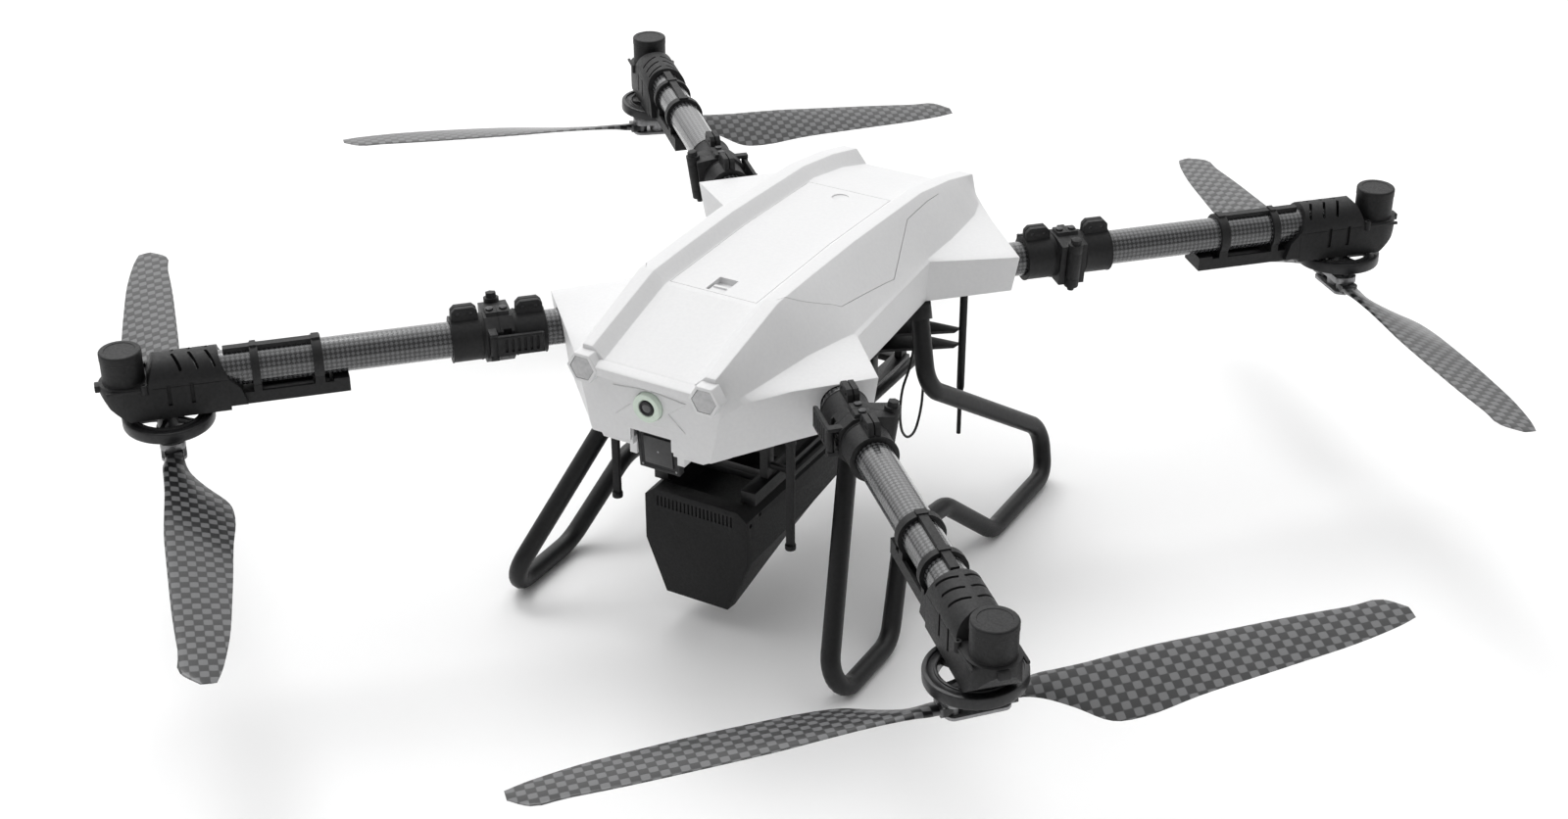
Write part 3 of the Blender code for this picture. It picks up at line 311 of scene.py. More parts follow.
def loft(rows):
    """Closed solid through rows of points, each row one ring."""
    bm = bmesh.new()
    rings = [[bm.verts.new(p) for p in row] for row in rows]
    for a, b in zip(rings, rings[1:]):
        bridge(bm, a, b)
    bm.faces.new(rings[0])
    bm.faces.new(rings[-1])
    return mesh_of(bm)


def rod(start, end, radius, sides):
    start, end = Vector(start), Vector(end)
    along = end - start
    turn = Vector((0, 0, 1)).rotation_difference(along).to_matrix().to_4x4()
    bm = bmesh.new()
    bmesh.ops.create_cone(
        bm, cap_ends=True, segments=sides, radius1=radius, radius2=radius, depth=along.length,
        matrix=Matrix.Translation((start + end) / 2) @ turn)
    return mesh_of(bm)


def post(x, y, low, high, radius, sides):
    """Upright rod."""
    return rod((x, y, low), (x, y, high), radius, sides)


def lathe(stations, sides):
    """Stack circles of (radius, z) into one closed round solid with flat ends."""
    turns = [2 * math.pi * k / sides for k in range(sides)]
    return loft([[(r * math.cos(a), r * math.sin(a), z) for a in turns] for r, z in stations])


def turned(profile, sides):
    """Turn a closed (radius, z) outline around z; every radius is above zero."""
    bm = bmesh.new()
    rings = []
    for k in range(sides):
        angle = 2 * math.pi * k / sides
        rings.append([bm.verts.new((r * math.cos(angle), r * math.sin(angle), z)) for r, z in profile])
    for k in range(sides):
        bridge(bm, rings[k], rings[(k + 1) % sides])
    return mesh_of(bm)


def moved(mesh, matrix):
    mesh.transform(matrix)
    if matrix.determinant() < 0:
        mesh.flip_normals()
    return mesh


def evaluated(item):
    graph = bpy.context.evaluated_depsgraph_get()
    return bpy.data.meshes.new_from_object(item.evaluated_get(graph))


def combine(first, others, operation, simplify=True):
    """Boolean of whole meshes; the white shells keep their fine patches, so they aren't simplified."""
    body = linked("body", first)
    tools = []
    for mesh in others:
        tool = linked("tool", mesh)
        modifier = body.modifiers.new("cut", "BOOLEAN")
        modifier.operation = operation
        modifier.solver = "EXACT"
        modifier.object = tool
        tools.append(tool)
    result = evaluated(body)
    for item in [body, *tools]:
        bpy.data.objects.remove(item, do_unlink=True)
    bm = bmesh.new()
    bm.from_mesh(result)
    bmesh.ops.remove_doubles(bm, verts=bm.verts, dist=0.00001)
    bmesh.ops.dissolve_degenerate(bm, edges=bm.edges, dist=0.00001)
    if simplify:
        bmesh.ops.dissolve_limit(bm, angle_limit=math.radians(0.3), verts=bm.verts, edges=bm.edges)
    bmesh.ops.delete(bm, geom=[e for e in bm.edges if not e.link_faces], context="EDGES")
    bmesh.ops.delete(bm, geom=[v for v in bm.verts if not v.link_faces], context="VERTS")
    bm.to_mesh(result)
    bm.free()
    return result


def union(first, *others):
    return combine(first, others, "UNION")


def cut(first, *others):
    return combine(first, others, "DIFFERENCE")


def common(first, *others):
    return combine(first, others, "INTERSECT")


def join_shell(first, *others):
    return combine(first, others, "UNION", False)


def cut_shell(first, *others):
    return combine(first, others, "DIFFERENCE", False)


def keep_shell(first, *others):
    return combine(first, others, "INTERSECT", False)


def softened(mesh, width, angle=32.0, segments=2):
    """Round the edges of a solid a little, as a mould or a cutter leaves them."""
    item = linked("soften", mesh)
    modifier = item.modifiers.new("edge", "BEVEL")
    modifier.width = width
    modifier.segments = segments
    modifier.limit_method = "ANGLE"
    modifier.angle_limit = math.radians(angle)
    result = evaluated(item)
    bpy.data.objects.remove(item, do_unlink=True)
    return result


def show(name, mesh, look, body, node, smooth_angle=35.0):
    """Put a world-space mesh on its body, standing for a CAD node if one is named."""
    mesh.name = name
    mesh.materials.clear()
    mesh.materials.append(look)
    mesh.shade_smooth()
    mesh.set_sharp_from_angle(angle=math.radians(smooth_angle))
    item = linked(name, mesh)
    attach(item, body)
    if node:
        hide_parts(node)


def arm_matrix(centre, azimuth, hand):
    return (Matrix.Translation((*centre, 0)) @ Matrix.Rotation(math.radians(azimuth), 4, "Z")
            @ Matrix.Diagonal((1.0, float(hand), 1.0, 1.0)))


def rotor_frame():
    return Matrix.Translation((0, 0, MOTOR_Z)) @ Matrix.Rotation(MOTOR_CANT, 4, "X")


# ---- arm pieces, in the arm's frame

def mapped_face(bm, layer, corners, flat):
    """Face whose corners take the UVs in flat."""
    face = bm.faces.new(corners)
    for loop, uv in zip(face.loops, flat):
        loop[layer].uv = uv


def woven_tube(u_start, u_end):
    """Hollow tube with a UV map in metres: round the tube, and along it."""
    bm = bmesh.new()
    layer = bm.loops.layers.uv.new("weave")
    bore = TUBE_R - 0.0018
    chamfer = 0.0003
    profile = [(u_start, bore), (u_start, TUBE_R - chamfer), (u_start + chamfer, TUBE_R),
               (u_start + (u_end - u_start) / 2, TUBE_R), (u_end - chamfer, TUBE_R),
               (u_end, TUBE_R - chamfer), (u_end, bore)]
    rings = []
    for k in range(TUBE_SIDES):
        angle = 2 * math.pi * k / TUBE_SIDES
        cos, sin = math.cos(angle), math.sin(angle)
        rings.append([bm.verts.new((u, r * cos, ARM_Z + r * sin)) for u, r in profile])
    for k in range(TUBE_SIDES):
        a, b = rings[k], rings[(k + 1) % TUBE_SIDES]
        here, there = (2 * math.pi * TUBE_R * turn / TUBE_SIDES for turn in (k, k + 1))
        for i in range(len(profile)):
            j = (i + 1) % len(profile)
            start, end = profile[i][0], profile[j][0]
            mapped_face(bm, layer, (a[i], a[j], b[j], b[i]),
                        ((here, start), (here, end), (there, end), (there, start)))
    return mesh_of(bm)


def pin_point(along):
    return Vector((FOLD_U, PIN_V + along * math.sin(PIN_TILT), ARM_Z + along * math.cos(PIN_TILT)))


def pin_rod(start, end, radius, sides):
    return rod(pin_point(start), pin_point(end), radius, sides)


def clamp_ears(u_low, u_high):
    top, shoulder, corner = 0.3720, 0.3480, 0.0045
    outline = [(u_low - 0.001, shoulder), (u_high + 0.001, shoulder), (u_high, top - corner),
               (u_high - corner, top), (u_low + corner, top), (u_low, top - corner)]
    ear = prism(outline, -0.0065, 0.0065, "Y")
    quarter = (u_high - u_low) / 4
    holes = []
    for u in (u_low + quarter, u_high - quarter):
        holes.append(rod((u, -0.01, 0.3650), (u, -0.0040, 0.3650), 0.0019, 16))
        holes.append(rod((u, 0.0040, 0.3650), (u, 0.01, 0.3650), 0.0019, 16))
    slit = box((u_low - 0.004, -0.0007, 0.3560), (u_high + 0.004, 0.0007, top + BITE))
    return cut(ear, *holes, slit)


def along_arm(u_start, u_end, radius):
    """Rod on the arm tube's own axis."""
    return rod((u_start, 0, ARM_Z), (u_end, 0, ARM_Z), radius, 64)


def cheek(side, u_low, u_high, v_near, v_far, z_low, z_high):
    """Box on one side of the arm."""
    low, high = sorted((side * v_near, side * v_far))
    return box((u_low, low, z_low), (u_high, high, z_high))


def hinge_half(side):
    """One half of the folding clamp; the inner half, at -1, also carries the pin and its head."""
    face = FOLD_U + side * GAP / 2
    end = FOLD_U + side * CLAMP_HALF_LENGTH
    flange_end = FOLD_U + side * FLANGE_LENGTH
    low, high = sorted((face, flange_end))
    flange_outline = [(-0.0262, 0.3180), (-0.0120, 0.3060), (0.0270, 0.3060), (0.0330, 0.3570),
                      (0.0120, 0.3600), (-0.0120, 0.3600), (-0.0262, 0.3480)]
    flange = prism(flange_outline, low, high, "X")
    sleeve = along_arm(flange_end - side * BITE, end, SLEEVE_R)
    ear_low, ear_high = sorted((flange_end + side * 0.006, end - side * 0.002))
    knuckles = pin_rod(-LUG_END, LUG_END, LUG_R, 40)
    ribs = []
    for u in (flange_end + side * 0.0035, end - side * 0.0012):
        a, b = sorted((u, u + side * 0.0012))
        ribs.append(along_arm(a, b, SLEEVE_R + 0.0006))
    crown_outline = [(-0.0105, 0.3585), (0.0105, 0.3585), (0.0085, 0.3640), (-0.0085, 0.3640)]
    crown = prism(crown_outline, *sorted((face, flange_end - side * 0.003)), "X")
    solid = union(sleeve, flange, clamp_ears(ear_low, ear_high), knuckles, crown, *ribs)
    split, beyond = LUG_SPLIT - side * GAP / 2, LUG_END + 0.010
    if side < 0:
        room = [pin_rod(-split, split, LUG_R + GAP, 40), pin_rod(LUG_END, beyond, LUG_R + GAP, 40),
                pin_rod(-beyond, -LUG_END, LUG_R + GAP, 40)]
    else:
        room = [pin_rod(split, beyond, LUG_R + GAP, 40), pin_rod(-beyond, -split, LUG_R + GAP, 40)]
    socket = along_arm(face + side * SOCKET_FLOOR, end + side * BITE, SEAT_R)
    middle = (face + flange_end) / 2
    pockets = [box((middle - 0.0045, -0.0275, z), (middle + 0.0045, -0.0235, z + 0.0100))
               for z in (0.3260, 0.3400)]
    solid = cut(solid, *room, socket, *pockets)
    if side < 0:
        pin = pin_rod(-PIN_END, PIN_END - 0.001, PIN_R, 24)
        head = pin_rod(LUG_END - BITE, PIN_END - GAP, 0.0062, 6)
        return union(solid, pin, head)
    return cut(solid, pin_rod(-PIN_END, PIN_END, PIN_R + 0.00035, 24))


def hinge_bolts(side):
    """Socket-head screws of the clamp's ears and its crown."""
    flange_end = FOLD_U + side * FLANGE_LENGTH
    end = FOLD_U + side * CLAMP_HALF_LENGTH
    ear_low, ear_high = sorted((flange_end + side * 0.006, end - side * 0.002))
    quarter = (ear_high - ear_low) / 4
    heads = []
    for u in (ear_low + quarter, ear_high - quarter):
        for v, way in ((-0.0058, -1), (0.0058, 1)):
            head = rod((u, v - way * 0.0025, 0.3650), (u, v, 0.3650), 0.0017, 20)
            socket = rod((u, v - way * 0.0010, 0.3650), (u, v + way * BITE, 0.3650), 0.0009, 6)
            heads.append(cut(head, socket))
    u = FOLD_U + side * 0.0075
    heads.append(softened(rod((u, 0, 0.3630), (u, 0, 0.3662), 0.0042, 24), 0.0006))
    return union(heads[0], *heads[1:])


def lever_bracket():
    """Two lugs and the pin that the latch lever turns on."""
    lugs = []
    for low, high in ((LEVER_LOW_Z - 0.0045, LEVER_LOW_Z - GAP),
                      (LEVER_HIGH_Z + GAP, LEVER_HIGH_Z + 0.0045)):
        lugs.append(box((LEVER_PIVOT_U - 0.0042, LEVER_V - 0.0035, low),
                        (LEVER_PIVOT_U + 0.0045, -0.020, high)))
    lugs.append(post(LEVER_PIVOT_U, LEVER_V, LEVER_LOW_Z - 0.002, LEVER_HIGH_Z + 0.002, 0.0014, 16))
    return lugs


def latch_lever():
    """Ribbed lever with its barrel on the bracket's pin."""
    end = LEVER_PIVOT_U - LEVER_LENGTH
    outer, inner = LEVER_V - 0.0025, LEVER_V + 0.0025
    outline = [(LEVER_PIVOT_U, outer), (LEVER_PIVOT_U, inner), (end + 0.002, inner),
               (end, inner - 0.002), (end, outer + 0.001), (end + 0.001, outer)]
    plate = prism(outline, LEVER_LOW_Z, LEVER_HIGH_Z, "Z")
    barrel = post(LEVER_PIVOT_U, LEVER_V, LEVER_LOW_Z, LEVER_HIGH_Z, 0.0042, 32)
    solid = union(barrel, plate)
    bore = post(LEVER_PIVOT_U, LEVER_V, LEVER_LOW_Z - BITE, LEVER_HIGH_Z + BITE, 0.0018, 16)
    pitch = LEVER_LENGTH * 0.75 / LEVER_SLOTS
    slots = []
    for k in range(LEVER_SLOTS):
        u = end + 0.006 + k * pitch
        slots.append(box((u, outer - BITE, LEVER_LOW_Z + 0.0035),
                         (u + pitch * 0.42, outer + 0.0030, LEVER_HIGH_Z - 0.0035)))
    rim = box((end + 0.003, outer - BITE, LEVER_HIGH_Z - 0.0016),
              (LEVER_PIVOT_U - 0.006, outer + 0.0008, LEVER_HIGH_Z + BITE))
    return softened(cut(solid, bore, *slots, rim), 0.0004)


def arch(half_width, floor_z):
    """Round-topped outline (y, z) over the arm's axis."""
    points = [(half_width, floor_z)]
    for k in range(ARCH_STEPS + 1):
        angle = math.pi * k / ARCH_STEPS
        points.append((half_width * math.cos(angle), ARM_Z + half_width * math.sin(angle)))
    points.append((-half_width, floor_z))
    return points


def motor_pod():
    """Casing, its lower half reaching further inboard, the strap cage and the cable tray."""
    top = ARM_Z + POD_HALF_WIDTH
    ledge = CAP_LOW_Z - GAP
    side_view = [(-0.066, POD_FLOOR_Z), (0.040, POD_FLOOR_Z), (0.058, 0.3110), (0.0670, 0.3260),
                 (0.0670, ledge), (0.0175, ledge), (0.010, top - 0.004), (0.006, top),
                 (-0.058, top), (-0.060, 0.3480), (-0.066, 0.3330)]
    nose = [(CAP_U + POD_HALF_WIDTH * math.sin(a), -POD_HALF_WIDTH * math.cos(a))
            for a in [math.pi * k / 36 for k in range(37)]]
    plan = [(-0.066, -POD_HALF_WIDTH), *nose, (-0.066, POD_HALF_WIDTH)]
    casing = common(prism(arch(POD_HALF_WIDTH, POD_FLOOR_Z), -0.068, 0.068, "X"),
                    prism(side_view, -0.04, 0.04, "Y"), prism(plan, 0.28, 0.38, "Z"))
    seam = [cheek(side, -0.070, 0.014, 0.0259, 0.0300, 0.3316, 0.3322) for side in (-1, 1)]
    casing = softened(cut(casing, *seam), 0.0007, 34.0)
    straps = []
    for u_low, u_high in ((-0.1000, -0.0915), (-0.1670, -0.1565)):
        straps.append(along_arm(u_low, u_high, STRAP_R))
        straps.append(box((u_low, -0.0195, 0.2985), (u_high, 0.0195, 0.3180)))
        straps.append(box((u_low + 0.001, -0.0060, 0.3560), (u_high - 0.001, 0.0060, 0.3592)))
    spine = box((-0.166, -0.0045, 0.3500), (-0.064, 0.0045, 0.3578))
    tray = box((-0.193, -0.0195, 0.2968), (-0.064, 0.0195, 0.3105))
    end_block = box((-0.193, -0.0195, 0.2968), (-0.176, 0.0195, 0.3135))
    floor_rib = box((-0.190, -0.0130, 0.2956), (-0.064, 0.0130, 0.2975))
    end_tab = softened(box((0.060, -0.006, 0.3250), (0.0715, 0.006, 0.3330)), 0.0012)
    cradle = prism([(-0.064, 0.3000), (-0.084, 0.3000), (-0.078, 0.3200), (-0.066, 0.3330),
                    (-0.060, 0.3330)], -0.0262, 0.0262, "Y")
    cradle = common(cradle, prism(arch(POD_HALF_WIDTH - 0.0003, POD_FLOOR_Z), -0.09, -0.06, "X"))
    bosses = []
    for side in (-1, 1):
        bosses.append(softened(post(BOSS_U, side * BOSS_V, 0.3270, 0.3385, 0.0036, 24), 0.0004))
        bosses.append(softened(cheek(side, 0.0170, 0.060, 0.0240, 0.0275, 0.3300, 0.3330), 0.0005))
    solid = union(casing, tray, end_block, floor_rib, *straps, spine, end_tab, cradle, *bosses)
    bore = along_arm(-0.21, -0.0180, SEAT_R)
    channel = box((-0.1730, -0.0160, 0.2998), (-0.1680, 0.0160, 0.33))
    middle = box((-0.1555, -0.0160, 0.2998), (-0.1010, 0.0160, 0.33))
    slits = []
    for k in range(3):
        u = -0.050 + 0.0175 * k
        slit = softened(box((-0.0016, -0.0105, -0.012), (0.0016, 0.0105, 0.012)), 0.0009)
        for v in (-0.0125, 0.0125):
            lean = Matrix.Rotation(math.copysign(math.radians(22.0), v), 4, "Z")
            slits.append(moved(slit.copy(), Matrix.Translation((u, v, 0.3555)) @ lean))
    vents = []
    for k in range(2):
        u = -0.030 + 0.024 * k
        vents += [cheek(side, u, u + 0.0042, 0.0238, 0.0300, 0.3100, 0.3345) for side in (-1, 1)]
    sockets = [post(BOSS_U, side * BOSS_V, 0.3365, 0.3400, 0.0016, 6) for side in (-1, 1)]
    shaft_hole = moved(post(0, 0, 0, 0.0315, 0.0046, 24), rotor_frame())
    return cut(solid, bore, channel, middle, *slits, *vents, *sockets, shaft_hole)


def end_cap():
    stations = [(CAP_R, CAP_LOW_Z), (CAP_R, CAP_LOW_Z + 0.0006), (CAP_R - 0.0004, CAP_LOW_Z + 0.0010),
                (CAP_R - 0.0004, 0.3600), (CAP_R, 0.3604)]
    for k in range(7):
        a = math.pi / 2 * k / 6
        stations.append((CAP_R - 0.0024 * (1 - math.cos(a)), CAP_HIGH_Z - 0.0024 * (1 - math.sin(a))))
    stations += [(0.0165, CAP_HIGH_Z), (0.0160, CAP_HIGH_Z - 0.0005), (0.0030, CAP_HIGH_Z - 0.0005)]
    return moved(lathe(stations, 72), Matrix.Translation((CAP_U, 0, 0)))


def motor_bell():
    """Rim, webs and centre of the motor."""
    rim = turned([(0.0345, -0.0065), (0.0470, -0.0065), (0.0484, -0.0060), (0.0490, -0.0046),
                  (0.0490, 0.0046), (0.0484, 0.0060), (0.0470, 0.0065), (0.0440, 0.0065),
                  (0.0436, 0.0050), (0.0380, 0.0050), (0.0376, 0.0065), (0.0352, 0.0065),
                  (0.0345, 0.0058)], 96)
    web_plan = [(0.006, -0.0042), (0.020, -0.0022), (0.037, -0.0034), (0.037, 0.0034), (0.020, 0.0022),
                (0.006, 0.0042)]
    webs = []
    for k in range(MOTOR_WEBS):
        web = prism(web_plan, -0.0050, 0.0012, "Z")
        webs.append(moved(web, Matrix.Rotation(2 * math.pi * k / MOTOR_WEBS, 4, "Z")))
    core = lathe(((0.0120, -0.0130), (0.0135, -0.0120), (0.0135, 0.0040), (0.0120, 0.0060),
                  (0.0040, 0.0065), (0.0040, 0.0260)), 48)
    return softened(union(rim, *webs, core), 0.0004, 40.0)


def motor_hub():
    """Grey machined holder that sandwiches the two blade roots."""
    half = BLADE_ROOT_THICKNESS / 2 + GAP
    turns = [math.pi * (1.0 + k / 12) for k in range(13)]
    plan = [(0.0135 * math.cos(a), -BLADE_PIN_R + 0.0090 * math.sin(a)) for a in turns]
    plan += [(-x, -y) for x, y in plan]
    upper = prism(plan, BLADE_Z + half, BLADE_Z + half + 0.0075, "Z")
    lower = prism(plan, BLADE_Z - half - 0.0035, BLADE_Z - half, "Z")
    post = lathe(((0.0095, -0.0395), (0.0095, -0.0180), (0.0150, -0.0165), (0.0150, -0.0128)), 48)
    return softened(union(upper, lower, post), 0.0006, 38.0)


def hub_bolts():
    """The blades' pivot bolts with nuts and socket heads, and four screws round the hub."""
    half = BLADE_ROOT_THICKNESS / 2 + GAP
    low, high = BLADE_Z - half, BLADE_Z + half
    parts = []
    for side in (-1, 1):
        v = side * BLADE_PIN_R
        parts.append(post(0, v, low - 0.0055, high + 0.0070, 0.0025, 24))
        parts.append(softened(post(0, v, low - 0.0062, low - 0.0030, 0.0048, 6), 0.0003))
        head = softened(post(0, v, high + 0.0070, high + 0.0112, 0.0042, 32), 0.0004)
        parts.append(cut(head, post(0, v, high + 0.0095, high + 0.0120, 0.0022, 6)))
    for k in range(4):
        a = math.pi / 4 + math.pi / 2 * k
        x, y = 0.0105 * math.cos(a), 0.0105 * math.sin(a)
        parts.append(softened(post(x, y, -0.0195, -0.0155, 0.0019, 16), 0.0003))
    return parts


# r, ahead and behind of the pitch line, pitch in degrees, thickness
BLADE_STATIONS = (
    (0.036, 0.0100, 0.0100, 0.0, 0.0082),
    (0.060, 0.0140, 0.0140, 18.0, 0.0070),
    (0.085, 0.0145, 0.0300, 20.0, 0.0055),
    (0.110, 0.0150, 0.0510, 19.0, 0.0050),
    (0.140, 0.0170, 0.0560, 17.5, 0.0045),
    (0.200, 0.0200, 0.0490, 13.0, 0.0040),
    (0.290, 0.0200, 0.0405, 9.0, 0.0034),
    (0.380, 0.0175, 0.0290, 6.5, 0.0027),
    (0.418, 0.0150, 0.0200, 6.0, 0.0022),
    (PROP_R, 0.0010, 0.0150, 6.0, 0.0014),
)


def smooth_columns(table, places):
    """Read each column of a station table at the given places, along one smooth curve."""
    table = np.array(table)
    x = table[:, 0]
    out = []
    for column in table[:, 1:].T:
        slope = np.gradient(column, x)
        step = np.diff(column) / np.diff(x)
        for i in range(1, len(x) - 1):
            if step[i - 1] * step[i] <= 0:
                slope[i] = 0.0
        slope[-1] = step[-1]
        slope[0] = 0.0
        row = []
        for p in places:
            i = min(max(int(np.searchsorted(x, p)) - 1, 0), len(x) - 2)
            h = x[i + 1] - x[i]
            t = (p - x[i]) / h
            row.append((2 * t ** 3 - 3 * t ** 2 + 1) * column[i]
                       + (t ** 3 - 2 * t ** 2 + t) * h * slope[i]
                       + (3 * t ** 2 - 2 * t ** 3) * column[i + 1]
                       + (t ** 3 - t ** 2) * h * slope[i + 1])
        out.append(row)
    return list(zip(*out))


def blade():
    """One blade along +v, turning towards -u; its UV map is chord and span in metres."""
    places = [0.036, 0.042, 0.048, 0.054, 0.060, 0.066, 0.072, 0.078, 0.085, 0.092, 0.099, 0.106, 0.113,
              0.120, 0.130]
    places += [0.142 + 0.0138 * k for k in range(20)]
    places += [0.414, 0.4185, 0.4225, 0.4262, 0.4292, PROP_R]
    upper = ((0, 0.0), (0.015, 0.20), (0.05, 0.36), (0.12, 0.50), (0.25, 0.60), (0.42, 0.58),
             (0.60, 0.48), (0.78, 0.30), (0.92, 0.13))
    lower = ((1, 0.02), (0.92, 0.0), (0.78, -0.12), (0.60, -0.26), (0.42, -0.36), (0.25, -0.38),
             (0.12, -0.32), (0.05, -0.22), (0.015, -0.12))
    section = upper + lower
    bm = bmesh.new()
    layer = bm.loops.layers.uv.new("weave")
    rings, flats = [], []
    for r, (ahead, behind, pitch, thick) in zip(places, smooth_columns(BLADE_STATIONS, places)):
        angle = math.radians(pitch)
        ring, flat = [], []
        for place, height in section:
            back = place * (ahead + behind) - ahead
            up = height * thick
            ring.append(bm.verts.new((back * math.cos(angle) + up * math.sin(angle), r,
                                      BLADE_Z - back * math.sin(angle) + up * math.cos(angle))))
            flat.append((back, r))
        rings.append(ring)
        flats.append(flat)
    for a, b, fa, fb in zip(rings, rings[1:], flats, flats[1:]):
        for i in range(len(a)):
            j = (i + 1) % len(a)
            mapped_face(bm, layer, (a[i], a[j], b[j], b[i]), (fa[i], fa[j], fb[j], fb[i]))
    mapped_face(bm, layer, rings[0], flats[0])
    mapped_face(bm, layer, rings[-1], flats[-1])
    return moved(mesh_of(bm), rotor_frame())


def blade_root():
    """Flat eye at the blade's inner end, bored for its pivot bolt."""
    low, high = BLADE_Z - BLADE_ROOT_THICKNESS / 2, BLADE_Z + BLADE_ROOT_THICKNESS / 2
    turns = [math.pi * (1.0 + k / 16) for k in range(17)]
    plan = [(0.0100 * math.cos(a), BLADE_PIN_R + 0.0100 * math.sin(a)) for a in turns]
    plan += [(0.0100, 0.0375), (-0.0100, 0.0375)]
    eye = softened(prism(plan, low, high, "Z"), 0.0006)
    bore = post(0, BLADE_PIN_R, low - BITE, high + BITE, 0.0029, 24)
    return moved(cut(eye, bore), rotor_frame())


def carry_flat(mesh):
    """Give a mesh a flat UV map from its own x and y."""
    layer = mesh.uv_layers.new(name="weave")
    for loop in mesh.loops:
        co = mesh.vertices[loop.vertex_index].co
        layer.data[loop.index].uv = (co.x, co.y)
    return mesh


def dress_arms():
    half_turn = rotor_frame() @ Matrix.Rotation(math.pi, 4, "Z") @ rotor_frame().inverted()
    first = blade()
    first_root = carry_flat(blade_root())
    second = moved(first.copy(), half_turn)
    second_root = moved(first_root.copy(), half_turn)
    outer = softened(union(hinge_half(1), *lever_bracket()), 0.0005, 34.0)
    inner = softened(hinge_half(-1), 0.0005, 34.0)
    bolts = [moved(part, rotor_frame()) for part in hub_bolts()]
    root_tube = woven_tube(ROOT_END_U, FOLD_U - SOCKET_FLOOR - GAP)
    arm_tube = woven_tube(FOLD_U + SOCKET_FLOOR + GAP, ARM_TUBE_END_U)
    kit = (
        # piece, mesh, material, body, replaced node, slot
        ("root_tube", root_tube, TUBE_WEAVE, "root", "root_tube", "carbon_tube"),
        ("arm_tube", arm_tube, TUBE_WEAVE, "arm", "arm_tube", "carbon_tube"),
        ("hinge_inner", inner, NYLON, "root", "hinge_inner", "black_nylon"),
        ("hinge_outer", outer, NYLON, "arm", "hinge_outer", "black_nylon"),
        ("hinge_inner_bolts", hinge_bolts(-1), STEEL, "root", None, "black_coat"),
        ("hinge_outer_bolts", hinge_bolts(1), STEEL, "arm", None, "black_coat"),
        ("latch_lever", latch_lever(), NYLON, "lever", "latch_lever", "black_nylon"),
        ("motor_pod", motor_pod(), NYLON, "arm", "motor_pod", "black_nylon"),
        ("end_cap", end_cap(), NYLON, "arm", "end_cap", "black_nylon"),
        ("motor_bell", moved(motor_bell(), rotor_frame()), MOTOR, "propeller", "rotor", "motor_black"),
        ("motor_hub", moved(motor_hub(), rotor_frame()), HUB_GREY, "propeller", None, "motor_black"),
        ("blade_1", first, BLADE_WEAVE, "blade_body_1", "blade_1", "carbon_blade"),
        ("blade_2", second, BLADE_WEAVE, "blade_body_2", "blade_2", "carbon_blade"),
        ("blade_root_1", first_root, BLADE_WEAVE, "blade_body_1", None, "carbon_blade"),
        ("blade_root_2", second_root, BLADE_WEAVE, "blade_body_2", None, "carbon_blade"),
        *[("hub_bolt_" + str(k), part, STEEL, "propeller", None, "motor_black")
          for k, part in enumerate(bolts)],
    )
    for corner, centre, azimuth, hand in ARMS:
        placed = arm_matrix(centre, azimuth, hand)
        for piece, mesh, look, body, node, slot in kit:
            target = body if body == "root" else body + "_" + corner
            show(piece + "_look_" + corner, moved(mesh.copy(), placed), look, target,
                 node + "_" + corner if node else None)


# ---- white shells

SKIN = 0.003
SEAM = 0.0006
CREST_Z = ((-0.3040, 0.3745), (-0.1650, 0.4156), (0.0, 0.4168), (0.1953, 0.4083), (0.2996, 0.3817))
DECK_Z = ((-0.3040, 0.3615), (-0.1720, 0.4015), (0.0, 0.4035), (0.1953, 0.3965), (0.2996, 0.3640))
CREST_X = ((-0.3040, 0.0808), (-0.1650, 0.0860), (0.0, 0.0872), (0.1953, 0.0860), (0.2996, 0.0886))
RIDGE_INNER_X = 0.0690
RIDGE_FOOT_X = 0.0550
# y, side's foot x and z, flange edge x and z, hem x and z
HULL_STATIONS = (
    (-0.2905, 0.0840, 0.3450, 0.0850, 0.3318, 0.0735, 0.2765),
    (-0.2734, 0.0985, 0.3530, 0.1027, 0.3470, 0.0900, 0.2800),
    (-0.2350, 0.1100, 0.3580, 0.1406, 0.3545, 0.1310, 0.2900),
    (-0.1690, 0.1220, 0.3610, 0.2056, 0.3570, 0.1975, 0.3030),
    (-0.0993, 0.1390, 0.3600, 0.1444, 0.3570, 0.1395, 0.3050),
    (0.0000, 0.1335, 0.3600, 0.1370, 0.3570, 0.1330, 0.3050),
    (0.1025, 0.1265, 0.3600, 0.1300, 0.3570, 0.1260, 0.3060),
    (0.1636, 0.1280, 0.3610, 0.2144, 0.3575, 0.2060, 0.3130),
    (0.2377, 0.1220, 0.3600, 0.1456, 0.3570, 0.1390, 0.3130),
    (0.2683, 0.1120, 0.3595, 0.1194, 0.3570, 0.1130, 0.3140),
    (0.2996, 0.0935, 0.3580, 0.0950, 0.3550, 0.0900, 0.3160),
)
LIGHT_X = 0.0745
LIGHT_Z = 0.3572
LIGHT_R = 0.0190
LENS_R = 0.0145
CAMERA_Z = 0.3259
CAMERA_R = 0.0165
CAMERA_BACK_Y = -0.2760
RADAR_SIDE = 0.0500
RADAR_TILT = math.radians(5.6)
RADAR_Y = -0.2720
RADAR_Z = 0.2635
RADAR_BAY_HALF_WIDTH = 0.0253
ARCH_GAP = 0.0012
STAR = ((-0.0455, 0.3400), (0.0, 0.3450), (0.0455, 0.3400), (0.0235, 0.3225),
        (0.0440, 0.3045), (0.0, 0.3025), (-0.0440, 0.3045), (-0.0235, 0.3225))
